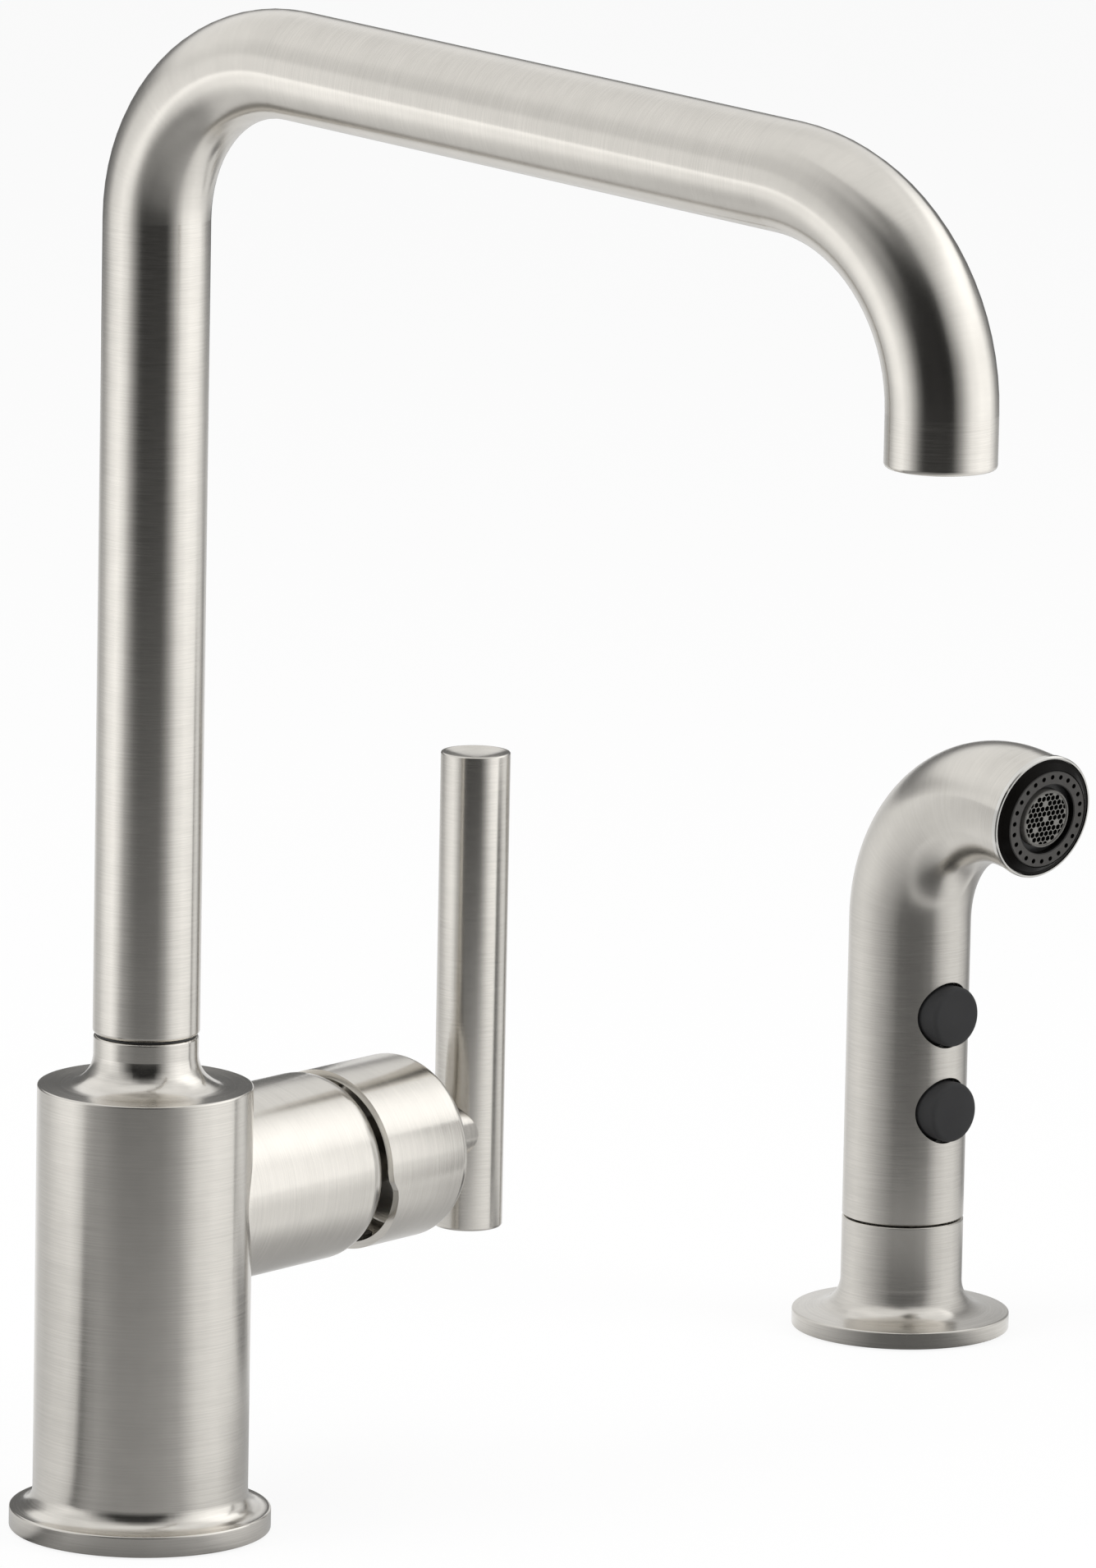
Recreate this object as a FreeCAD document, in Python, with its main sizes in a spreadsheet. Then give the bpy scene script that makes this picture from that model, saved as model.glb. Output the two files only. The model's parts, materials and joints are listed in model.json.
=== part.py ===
import FreeCAD, Part
import math
import os
import re
import Sketcher
from FreeCAD import Placement, Rotation, Vector

# Single-lever kitchen faucet with a separate side spray. Millimetres, +Z up, the origin on the
# faucet's axis at the deck, +X along the lever boss towards the spray, -Y towards the user.

doc = FreeCAD.newDocument("side_spray_faucet")
sheet = doc.addObject("Spreadsheet::Sheet", "sizes")

DRIVING_SIZES = {
    # faucet body, its base flange and neck
    "deck_thickness": 20.0,
    "flange_radius": 27.0,
    "flange_height": 4.7,
    "flange_cove": 4.0,
    "body_radius": 22.2,
    "body_top": 93.4,
    "neck_radius": 10.8,
    "neck_cove": 6.5,
    "neck_top": 103.8,
    "seal_depth": 1.2,
    "seal_width": 7.0,
    "seal_margin": 2.0,
    "lip_height": 0.3,
    # threaded shanks below the deck and their clamps
    "shank_radius": 16.0,
    "shank_bore": 13.0,
    "shank_socket": 12.0,
    "shank_end": 46.0,
    "thread_chamfer": 0.8,
    "washer_width": 9.0,
    "washer_sheet": 1.5,
    "rubber_sheet": 2.5,
    "nut_height": 9.0,
    "mounting_nut_flats": 41.0,
    "holder_nut_flats": 34.0,
    "port_circle": 7.8,
    "port_radius": 5.0,
    "port_depth": 10.0,
    "waterway_radius": 3.0,
    # side boss and the cartridge in it
    "boss_height": 68.3,
    "boss_radius": 19.7,
    "boss_end": 55.0,
    "boss_round": 5.5,
    "cartridge_radius": 17.5,
    "cartridge_seat": 12.0,
    "cartridge_front": 44.0,
    "cartridge_wall": 1.8,
    "nut_radius": 17.8,
    "nut_bore": 13.0,
    "inlet_drop": 8.3,
    "inlet_spread": 6.75,
    "mix_rise": 8.0,
    "base_thickness": 3.2,
    "fixed_thickness": 3.5,
    "moving_thickness": 3.9,
    "moving_radius": 11.0,
    "mixing_radius": 6.0,
    "mixing_depth": 1.4,
    "socket_radius": 3.2,
    "socket_depth": 2.0,
    "ball_radius": 2.9,
    "rotor_neck": 9.0,
    "pivot_offset": 34.0,
    "pin_radius": 1.5,
    "handle_swing": 20.0,
    "stem_width": 7.0,
    "stem_length": 43.0,
    # lever handle
    "cap_radius": 19.4,
    "cap_wall": 1.5,
    "cap_rear": 55.6,
    "cap_front": 80.5,
    "cap_end_wall": 2.5,
    "hub_radius": 7.0,
    "hub_length": 18.5,
    "screw_level": 13.5,
    "screw_radius": 2.5,
    "screw_length": 5.0,
    "plug_radius": 2.9,
    "post_radius": 6.2,
    "post_foot": 5.5,
    "foot_radius": 3.95,
    "spigot_radius": 3.2,
    "spigot_length": 2.0,
    "lever_offset": 102.1,
    "lever_radius": 7.35,
    "lever_low": 47.3,
    "lever_high": 149.1,
    "lever_edge": 1.6,
    "lever_dish": 0.5,
    # swivel spout
    "tube_radius": 11.0,
    "tube_wall": 1.5,
    "tube_low": 104.2,
    "spout_reach": 203.2,
    "rise_top": 272.4,
    "rear_bend": 34.7,
    "arm_slope": 3.9,
    "front_bend": 41.7,
    "outlet_height": 246.2,
    "swivel_radius": 8.6,
    "swivel_floor": 80.0,
    "post_rise": 18.0,
    "post_bore": 5.5,
    "ring_height": 2.0,
    "ring_depth": 1.7,
    "clip_drop": 5.5,
    "clip_height": 1.4,
    "clip_depth": 0.8,
    "outlet_bore": 8.2,
    "outlet_setback": 0.8,
    "stream_hole": 0.7,
    "stream_pitch": 2.6,
    "diverter_radius": 6.05,
    "diverter_floor": 64.5,
    "diverter_bore": 3.2,
    # spray holder
    "spray_offset": 250.0,
    "holder_flange_radius": 24.0,
    "holder_flange_height": 4.0,
    "holder_cove": 6.5,
    "holder_top": 25.2,
    "holder_shank_radius": 13.0,
    "holder_shank_wall": 2.0,
    "holder_floor": 8.0,
    "guide_radius": 10.2,
    "liner_wall": 1.4,
    # spray handset
    "spray_turn": -8.8,
    "handset_radius": 13.4,
    "handset_wall": 1.3,
    "handset_low": 25.6,
    "head_bend_start": 92.1,
    "head_bend": 30.5,
    "head_turn": 98.2,
    "head_nose": 6.8,
    "rim_depth": 1.6,
    "button_radius": 6.65,
    "button_gap": 0.7,
    "button_reach": 16.2,
    "button_flange": 7.8,
    "button_back": 8.0,
    "button_sheet": 0.9,
    "well_depth": 2.8,
    "spring_radius": 3.6,
    "spring_wire": 0.3,
    "spring_pitch": 1.3,
    "spring_back": 4.5,
    "spring_length": 3.2,
    "coupling_low": 4.0,
    "coupling_bore": 4.0,
    "hose_port_radius": 6.6,
    "hose_port_depth": 10.0,
    "spigot_rise": 7.0,
    "water_radius": 4.0,
    "water_bore": 3.0,
    "water_nose": 0.1,
    "upper_button_height": 72.5,
    "lower_button_height": 51.1,
    "rim_radius": 13.8,
    "rim_bore": 13.15,
    "insert_radius": 10.6,
    "face_radius": 13.1,
    "nozzle_rise": 1.4,
    "nozzle_outer": 10.9,
    "nozzle_inner": 7.9,
    "nozzle_circle": 9.6,
    "nozzle_hole": 0.54,
    "stream_radius": 6.5,
    "stream_depth": 2.4,
    "honeycomb_radius": 6.05,
    "honeycomb_sheet": 1.6,
    "cell_pitch": 1.33,
    "cell_wall": 0.2,
    # fits and edges
    "running_gap": 0.05,
    "slack": 0.2,
    "fine_edge": 0.4,
}
for row, (alias, amount) in enumerate(DRIVING_SIZES.items(), start=1):
    sheet.set(f"A{row}", alias)
    sheet.set(f"B{row}", str(amount))
    sheet.setAlias(f"B{row}", alias)
doc.recompute()

NOZZLE_COUNT = 24
NUT_SLOTS = 4
STREAM_RINGS = 3
TINY = 0.02


def linked(text):
    """An expression as another object reads it, with each size named on the sheet."""
    return re.sub(r"[a-z][a-z_]*", lambda word: "sizes." + word.group()
                  if word.group() in DRIVING_SIZES else word.group(), text)


def amount_of(text):
    """The present value of an expression in sheet names, in millimetres or degrees."""
    value = sheet.evalExpression(text)
    return float(getattr(value, "Value", value))


def place(across="0", back="0", up="0", axis=None, turn="0"):
    """A placement from expressions, turned by so many degrees about an axis."""
    spot = Vector(amount_of(across), amount_of(back), amount_of(up))
    return Placement(spot, Rotation(axis or Vector(0, 0, 1), amount_of(turn)))


# Frames that sub-parts are made in: each turned piece spins about its own Z.
ON_FAUCET = place()
ON_BOSS = place(up="boss_height", axis=Vector(0, 1, 0), turn="90")
ON_HOLDER = place("spray_offset")
ON_HANDSET = place("spray_offset", turn="spray_turn")
NOSE_OUT = "head_bend * (1 - cos(head_turn * 1deg)) + head_nose * sin(head_turn * 1deg)"
NOSE_UP = "head_bend_start + head_bend * sin(head_turn * 1deg) + head_nose * cos(head_turn * 1deg)"
ON_NOSE = ON_HANDSET * place(back=f"-({NOSE_OUT})", up=NOSE_UP, axis=Vector(1, 0, 0), turn="head_turn")
ON_OUTLET = place(back="-spout_reach", up="outlet_height")

sub_parts = []


def new_body(label, where):
    body = doc.addObject("PartDesign::Body", label)
    body.Label = label
    body.Placement = where
    sub_parts.append(body)
    return body


def new_sketch(body, role, name, raised=None, along="z"):
    """A sketch on one of the body's own origin planes, raised off it by an expression."""
    sketch = body.newObject("Sketcher::SketchObject", name)
    plane = next(part for part in body.Origin.OriginFeatures if part.Role == role)
    sketch.AttachmentSupport = [(plane, "")]
    sketch.MapMode = "FlatFace"
    if raised:
        sketch.setExpression(f"AttachmentOffset.Base.{along}", linked(raised))
    return sketch


def hold(sketch, kind, geometry, point, text):
    """Ties a point's distance from the sketch origin to an expression."""
    value = amount_of(text)
    if abs(value) < 1e-9:
        axis = -2 if kind == "DistanceX" else -1
        sketch.addConstraint(Sketcher.Constraint("PointOnObject", geometry, point, axis))
        return
    # A point left of or below the origin is held by its positive distance to the origin.
    ends = (-1, 1, geometry, point) if value > 0 else (geometry, point, -1, 1)
    index = sketch.addConstraint(Sketcher.Constraint(kind, *ends, abs(value)))
    sketch.setExpression(f"Constraints[{index}]", linked(text if value > 0 else f"-({text})"))


def draw_loop(sketch, corners):
    """A closed straight-sided outline whose corners are pairs of expressions."""
    points = [Vector(amount_of(across), amount_of(up), 0) for across, up in corners]
    first = sketch.GeometryCount
    count = len(points)
    for k in range(count):
        sketch.addGeometry(Part.LineSegment(points[k], points[(k + 1) % count]))
    for k in range(count):
        after = first + (k + 1) % count
        sketch.addConstraint(Sketcher.Constraint("Coincident", first + k, 2, after, 1))
    for k, (across, up) in enumerate(corners):
        hold(sketch, "DistanceX", first + k, 1, across)
        hold(sketch, "DistanceY", first + k, 1, up)


def draw_circle(sketch, radius, across="0", up="0"):
    centre = Vector(amount_of(across), amount_of(up), 0)
    circle = sketch.addGeometry(Part.Circle(centre, Vector(0, 0, 1), amount_of(radius)))
    index = sketch.addConstraint(Sketcher.Constraint("Radius", circle, amount_of(radius)))
    sketch.setExpression(f"Constraints[{index}]", linked(radius))
    hold(sketch, "DistanceX", circle, 3, across)
    hold(sketch, "DistanceY", circle, 3, up)


def draw_box(sketch, left, right, low, high):
    draw_loop(sketch, [(left, low), (right, low), (right, high), (left, high)])


def spin(body, sketch, name, cut=False, axis="V_Axis"):
    """Revolves a sketch all the way round, as material or as a groove."""
    turned = body.newObject("PartDesign::Groove" if cut else "PartDesign::Revolution", name)
    turned.Profile = sketch
    turned.ReferenceAxis = (sketch, [axis])
    turned.Angle = 360
    return turned


def extrude(body, sketch, name, length, cut=False, reverse=False, middle=False):
    """Pads or pockets a sketch; a pocket has to take material away."""
    doc.recompute()
    before = body.Shape.Volume if cut else 0
    feature = body.newObject("PartDesign::Pocket" if cut else "PartDesign::Pad", name)
    feature.Profile = sketch
    feature.Length = amount_of(length)
    feature.setExpression("Length", linked(length))
    feature.Reversed = reverse
    if middle:
        feature.Midplane = True
    doc.recompute()
    if cut and before - feature.Shape.Volume < 1e-3:
        raise RuntimeError(f"{name} cuts nothing")
    return feature


def ease(body, name, size, spots, kind="Fillet"):
    """Rounds or chamfers the circular edges given as (radius, centre), all in expressions."""
    doc.recompute()
    base = body.Tip
    wanted = [(amount_of(radius), Vector(*(amount_of(part) for part in centre)))
              for radius, centre in spots]
    edges = []
    for number, edge in enumerate(base.Shape.Edges, start=1):
        curve = edge.Curve
        if not isinstance(curve, Part.Circle):
            continue
        for radius, centre in wanted:
            if abs(curve.Radius - radius) < TINY and curve.Center.distanceToPoint(centre) < TINY:
                edges.append(f"Edge{number}")
                break
    if len(edges) < len(wanted):
        raise RuntimeError(f"{name} finds {len(edges)} of {len(wanted)} edges")
    feature = body.newObject("PartDesign::" + kind, name)
    feature.Base = (base, edges)
    feature.setExpression("Radius" if kind == "Fillet" else "Size", linked(size))
    return feature


def rim(radius, up):
    """The spot of a circular edge centred on the body's own Z axis."""
    return radius, ("0", "0", up)


def turned_part(label, where, corners):
    """A piece turned about its own Z from a half section of (radius, height) corners."""
    body = new_body(label, where)
    sketch = new_sketch(body, "XZ_Plane", label + "_section")
    draw_loop(sketch, corners)
    spin(body, sketch, label + "_turned")
    return body


def ring(label, where, inner, outer, low, high):
    return turned_part(label, where, [(inner, low), (outer, low), (outer, high), (inner, high)])


def drill(body, name, role, radius, spots, start, length, reverse=False):
    """Round holes from one sketch, from a start plane and to one depth."""
    sketch = new_sketch(body, role, name + "_spots", start)
    for across, up in spots:
        draw_circle(sketch, radius, across, up)
    return extrude(body, sketch, name, length, cut=True, reverse=reverse)


def seal_rings(label, where, outer, inner, thickness, spots):
    """Equal square-cut seals, one solid each in one node, at (across, back, height) spots."""
    seals = []
    for number, spot in enumerate(spots, start=1):
        blank = doc.addObject("Part::Cylinder", f"{label}_blank_{number}")
        hole = doc.addObject("Part::Cylinder", f"{label}_hole_{number}")
        for solid, radius in ((blank, outer), (hole, inner)):
            solid.setExpression("Radius", linked(radius))
            solid.setExpression("Height", linked(thickness))
            for side, text in zip("xyz", spot):
                solid.setExpression(f"Placement.Base.{side}", linked(text))
        seal = doc.addObject("Part::Cut", f"{label}_{number}")
        seal.Base = blank
        seal.Tool = hole
        seals.append(seal)
    group = doc.addObject("Part::Compound", label)
    group.Links = seals
    group.Label = label
    group.Placement = where
    sub_parts.append(group)


def hex_nut(label, where, flats, bore, thickness):
    """A hexagon nut standing on its own XY plane, its corners turned off on both faces."""
    body = new_body(label, where)
    outline = new_sketch(body, "XY_Plane", label + "_hexagon")
    corner = f"({flats}) / 2 / cos(30deg)"
    corners = [(f"{corner} * cos({60 * k}deg)", f"{corner} * sin({60 * k}deg)") for k in range(6)]
    draw_loop(outline, corners)
    extrude(body, outline, label + "_blank", thickness)
    hole = new_sketch(body, "XY_Plane", label + "_hole")
    draw_circle(hole, bore)
    extrude(body, hole, label + "_bore", thickness, cut=True, reverse=True)
    edges = new_sketch(body, "XZ_Plane", label + "_corners")
    flat, far = f"({flats}) / 2", f"({flats}) / 2 * 1.3"
    fall = f"({far} - {flat}) * 0.5"
    draw_loop(edges, [(flat, "0"), (far, "0"), (far, fall)])
    draw_loop(edges, [(flat, thickness), (far, thickness), (far, f"{thickness} - {fall}")])
    spin(body, edges, label + "_chamfer", cut=True)
    return body


def bent_tube(body, name, outer, inner, start, draw_path):
    """Sweeps a round wall along a path of runs and tangent arcs."""
    path = new_sketch(body, "YZ_Plane", name + "_path")
    draw_path(path)
    for radius, kind, step in ((outer, "Additive", "wall"), (inner, "Subtractive", "bore")):
        section = new_sketch(body, "XY_Plane", f"{name}_{step}_section", start)
        draw_circle(section, radius)
        pipe = body.newObject(f"PartDesign::{kind}Pipe", f"{name}_{step}")
        pipe.Profile = section
        pipe.Spine = (path, [])
        doc.recompute()
    return path


def join_tangent(sketch, first, second):
    sketch.addConstraint(Sketcher.Constraint("Tangent", first[0], first[1], second[0], second[1]))


def bind(sketch, text, *terms):
    """A dimension constraint whose value follows an expression."""
    index = sketch.addConstraint(Sketcher.Constraint(*terms, amount_of(text)))
    sketch.setExpression(f"Constraints[{index}]", linked(text))


def arc_between(centre, radius, start_angle, end_angle):
    circle = Part.Circle(centre, Vector(0, 0, 1), radius)
    return Part.ArcOfCircle(circle, start_angle, end_angle)


def make_faucet_body():
    """One casting: flange, column, neck and lever boss, with its bores and waterways."""
    body = new_body("faucet_body", ON_FAUCET)
    section = new_sketch(body, "XZ_Plane", "body_section")
    draw_loop(section, [
        ("0", "shank_socket"),
        ("shank_radius + running_gap", "shank_socket"),
        ("shank_radius + running_gap", "lip_height"),
        ("flange_radius - seal_margin - seal_width", "lip_height"),
        ("flange_radius - seal_margin - seal_width", "lip_height + seal_depth"),
        ("flange_radius - seal_margin", "lip_height + seal_depth"),
        ("flange_radius - seal_margin", "lip_height"),
        ("flange_radius", "lip_height"),
        ("flange_radius", "flange_height"),
        ("body_radius", "flange_height"),
        ("body_radius", "body_top"),
        ("neck_radius", "body_top"),
        ("neck_radius", "neck_top"),
        ("0", "neck_top"),
    ])
    spin(body, section, "body_turned")
    boss = new_sketch(body, "YZ_Plane", "boss_circle")
    draw_circle(boss, "boss_radius", "0", "boss_height")
    extrude(body, boss, "boss", "boss_end")
    ease(body, "flange_cove_round", "flange_cove", [rim("body_radius", "flange_height")])
    ease(body, "neck_cove_round", "neck_cove", [rim("neck_radius", "body_top")])
    ease(body, "boss_end_round", "boss_round", [("boss_radius", ("boss_end", "0", "boss_height"))])
    ease(body, "body_edges", "fine_edge",
         [rim("flange_radius", "flange_height"), rim("flange_radius", "lip_height"),
          rim("body_radius", "body_top"), rim("neck_radius", "neck_top")])
    make_upright_bores(body)
    make_cartridge_bore(body)
    make_waterways(body)
    return body


def make_upright_bores(body):
    """The socket that the spout turns in, its snap ring groove and the diverter's bore."""
    bores = new_sketch(body, "XZ_Plane", "upright_bores_section")
    groove_low, groove_high = "neck_top - clip_drop", "neck_top - clip_drop + clip_height"
    draw_loop(bores, [
        ("0", "diverter_floor"),
        ("diverter_radius", "diverter_floor"),
        ("diverter_radius", "swivel_floor"),
        ("swivel_radius", "swivel_floor"),
        ("swivel_radius", groove_low),
        ("swivel_radius + clip_depth", groove_low),
        ("swivel_radius + clip_depth", groove_high),
        ("swivel_radius", groove_high),
        ("swivel_radius", "neck_top"),
        ("0", "neck_top"),
    ])
    spin(body, bores, "upright_bores", cut=True)


def make_cartridge_bore(body):
    """The seat of the cartridge, opening out to the thread of its nut."""
    bore = new_sketch(body, "XZ_Plane", "cartridge_bore_section", "boss_height", "y")
    wall = "cartridge_radius + running_gap"
    draw_loop(bore, [
        ("cartridge_seat", "0"),
        ("cartridge_seat", wall),
        ("cartridge_front", wall),
        ("cartridge_front", "nut_radius"),
        ("boss_end", "nut_radius"),
        ("boss_end", "0"),
    ])
    spin(body, bore, "cartridge_bore", cut=True, axis="H_Axis")


def make_waterways(body):
    """Hot, cold and spray ports in the shank socket, and the drillings that they feed."""
    lift = "port_circle * sin(60deg)"
    ports = [("-port_circle / 2", lift), ("-port_circle / 2", f"-({lift})"), ("port_circle", "0")]
    drill(body, "ports", "XY_Plane", "port_radius", ports, "shank_socket", "port_depth", reverse=True)
    inlet_top = "boss_height - inlet_drop - shank_socket"
    drill(body, "supply_risers", "XY_Plane", "waterway_radius", ports[:2], "shank_socket",
          inlet_top, reverse=True)
    drill(body, "spray_riser", "XY_Plane", "waterway_radius", ports[2:], "shank_socket",
          "diverter_floor + waterway_radius - shank_socket", reverse=True)
    level = "boss_height - inlet_drop"
    inlets = [("inlet_spread", level), ("-inlet_spread", level)]
    drill(body, "supply_drillings", "YZ_Plane", "waterway_radius", inlets, "cartridge_seat",
          "cartridge_seat + port_circle / 2")
    drill(body, "mix_drilling", "YZ_Plane", "waterway_radius", [("0", "boss_height + mix_rise")],
          "cartridge_seat", "cartridge_seat")


def base_seal(label, where, flange):
    """Flat gasket, proud of its recess under a flange by the height of the flange's lip."""
    ring(label, where, f"{flange} - seal_margin - seal_width + slack", f"{flange} - seal_margin - slack",
         "0", "lip_height + seal_depth")


def make_deck_clamp():
    """Hollow threaded shank, base seal, washers and nut that hold the column to the deck."""
    turned_part("shank", place(up="-shank_end"), [
        ("shank_bore", "0"),
        ("shank_radius - thread_chamfer", "0"),
        ("shank_radius", "thread_chamfer"),
        ("shank_radius", "shank_end + shank_socket - slack"),
        ("shank_bore", "shank_end + shank_socket - slack"),
    ])
    base_seal("base_gasket", ON_FAUCET, "flange_radius")
    rubber_low = "-deck_thickness - rubber_sheet"
    inner, outer = "shank_radius + slack", "shank_radius + washer_width"
    ring("shank_rubber_washer", place(up=rubber_low), inner, outer, "0", "rubber_sheet")
    ring("shank_steel_washer", place(up=f"{rubber_low} - washer_sheet"), inner, outer, "0", "washer_sheet")
    hex_nut("mounting_nut", place(up=f"{rubber_low} - washer_sheet - nut_height"), "mounting_nut_flats",
            "shank_radius + running_gap", "nut_height")


BASE_LOW = "(cartridge_seat + 2 * slack)"
BASE_HIGH = f"({BASE_LOW} + base_thickness)"
FIXED_LOW = f"({BASE_HIGH} + slack / 2)"
FIXED_HIGH = f"({FIXED_LOW} + fixed_thickness)"
MOVING_LOW = f"({FIXED_HIGH} + slack / 2)"
MOVING_HIGH = f"({MOVING_LOW} + moving_thickness)"


def make_cartridge():
    """Ceramic disc cartridge: base, seals, shell, discs, rotor, pivot and stem."""
    inlets = [("inlet_drop", "inlet_spread"), ("inlet_drop", "-inlet_spread")]
    ports = inlets + [("-mix_rise", "0")]
    seat_radius, seat_depth = "waterway_radius + 1.6", "0.9"
    base = turned_part("cartridge_base", ON_BOSS, [
        ("0", BASE_LOW), ("cartridge_radius", BASE_LOW), ("cartridge_radius", BASE_HIGH), ("0", BASE_HIGH)])
    drill(base, "base_ports", "XY_Plane", "waterway_radius", ports, BASE_LOW, "base_thickness", reverse=True)
    drill(base, "base_seal_seats", "XY_Plane", seat_radius, ports, BASE_LOW, seat_depth, reverse=True)
    seal_low = "cartridge_seat + running_gap"
    seal_rings("port_seals", ON_BOSS, f"{seat_radius} - running_gap", "waterway_radius + slack",
               f"{BASE_LOW} + {seat_depth} - cartridge_seat - 2 * running_gap",
               [(across, up, seal_low) for across, up in ports])

    inner, lid = "cartridge_radius - cartridge_wall", "cartridge_front - 3.4"
    turned_part("cartridge_shell", ON_BOSS, [
        (inner, BASE_HIGH),
        ("cartridge_radius", BASE_HIGH),
        ("cartridge_radius", "cartridge_front"),
        ("rotor_neck + 0.3", "cartridge_front"),
        ("rotor_neck + 0.3", lid),
        (inner, lid),
    ])
    fixed = turned_part("fixed_disc", ON_BOSS, [
        ("0", FIXED_LOW), (f"{inner} - slack", FIXED_LOW),
        (f"{inner} - slack", FIXED_HIGH), ("0", FIXED_HIGH)])
    drill(fixed, "disc_ports", "XY_Plane", "waterway_radius", ports, FIXED_LOW, "fixed_thickness",
          reverse=True)

    # The moving disc has a mixing hollow below and the stem's socket above.
    hollow_top, socket_floor = f"{MOVING_LOW} + mixing_depth", f"{MOVING_HIGH} - socket_depth"
    turned_part("moving_disc", ON_BOSS, [
        ("0", hollow_top),
        ("mixing_radius", hollow_top),
        ("mixing_radius", MOVING_LOW),
        ("moving_radius", MOVING_LOW),
        ("moving_radius", MOVING_HIGH),
        ("socket_radius", MOVING_HIGH),
        ("socket_radius", socket_floor),
        ("0", socket_floor),
    ])
    make_rotor()
    make_stem()
    pin_length = "24"
    ring("pivot_pin", place("pivot_offset", f"-{pin_length} / 2", "boss_height", Vector(1, 0, 0), "-90"),
         "0", "pin_radius", "0", pin_length)


def make_rotor():
    """The carrier that turns for temperature and holds the stem's pivot."""
    low, shoulder, front = f"({MOVING_HIGH} + slack)", "cartridge_front - 3.6", "(cartridge_front + 0.5)"
    radius = "cartridge_radius - cartridge_wall - 0.3"
    rotor = turned_part("cartridge_rotor", ON_BOSS, [
        ("0", low), (radius, low), (radius, shoulder),
        ("rotor_neck", shoulder), ("rotor_neck", front), ("0", front)])
    # Wide at both ends, the slot lets the stem rock about its pin one way from upright.
    slot = new_sketch(rotor, "XZ_Plane", "stem_slot_outline")
    half, room = "stem_width / 2 / cos(handle_swing * 1deg) + slack", "0.6"
    draw_loop(slot, [
        (f"-({half})", front),
        (f"-({half})", "pivot_offset"),
        (f"-({half} + (pivot_offset - {low}) * tan(handle_swing * 1deg) + {room})", low),
        (half, low),
        (half, "pivot_offset"),
        (f"{half} + ({front} - pivot_offset) * tan(handle_swing * 1deg) + {room}", front),
    ])
    extrude(rotor, slot, "stem_slot", "stem_width + 2 * slack", cut=True, middle=True)
    drill_pin_hole(rotor)


def make_stem():
    """Square rocking stem: a ball for the moving disc, a pin hole, and an end for the handle."""
    stem = new_body("cartridge_stem", ON_BOSS)
    shoulder = "pivot_offset - 5"
    square = new_sketch(stem, "XY_Plane", "stem_square", shoulder)
    draw_box(square, "-stem_width / 2", "stem_width / 2", "-stem_width / 2", "stem_width / 2")
    extrude(stem, square, "stem_bar", "stem_length")
    tail = new_sketch(stem, "XZ_Plane", "stem_tail_section")
    ball_low, tail_radius = f"({MOVING_HIGH} - socket_depth + slack)", "2.1"
    draw_loop(tail, [
        ("0", ball_low), ("1.6", ball_low), ("ball_radius", f"{ball_low} + 1.2"),
        ("ball_radius", f"{ball_low} + 2"), (tail_radius, f"{ball_low} + 3.2"),
        (tail_radius, f"{shoulder} + 1"), ("0", f"{shoulder} + 1")])
    spin(stem, tail, "stem_tail")
    drill_pin_hole(stem)


def drill_pin_hole(body):
    """The cross hole of the rocking pivot."""
    through = "cartridge_radius * 2"
    drill(body, body.Label + "_pin_hole", "XZ_Plane", "pin_radius + running_gap", [("0", "pivot_offset")],
          "cartridge_radius", through)


def make_cartridge_clamp():
    """Slotted ring nut on the cartridge, and the rounded bonnet over it."""
    nut_low, nut_high = "cartridge_front + slack / 2", "cartridge_front + 8.4"
    nut = ring("cartridge_nut", ON_BOSS, "nut_bore", "nut_radius - running_gap", nut_low, nut_high)
    slot = new_sketch(nut, "XY_Plane", "nut_slot_outline", nut_high)
    draw_box(slot, "nut_bore - 0.5", "nut_radius + 0.5", "-1.75", "1.75")
    cut = extrude(nut, slot, "nut_slot", "2.5", cut=True)
    spread_round(nut, cut, "nut_slots", NUT_SLOTS)
    low, tip = f"{nut_high} + slack", "nut_bore + 0.4"
    turned_part("bonnet", ON_BOSS, [
        (tip, low),
        ("nut_radius - slack", low),
        ("nut_radius - slack", "boss_end - 1.6"),
        (f"{tip} + 2", "boss_end + 1.3"),
        (tip, "boss_end + 1.6"),
    ])


def spread_round(body, feature, name, count):
    """Repeats a feature evenly round the body's own Z axis."""
    pattern = body.newObject("PartDesign::PolarPattern", name)
    pattern.Originals = [feature]
    pattern.Axis = (feature.Profile[0], ["N_Axis"])
    pattern.Angle = 360
    pattern.Occurrences = count
    body.Tip = pattern
    doc.recompute()
    return pattern


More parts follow.
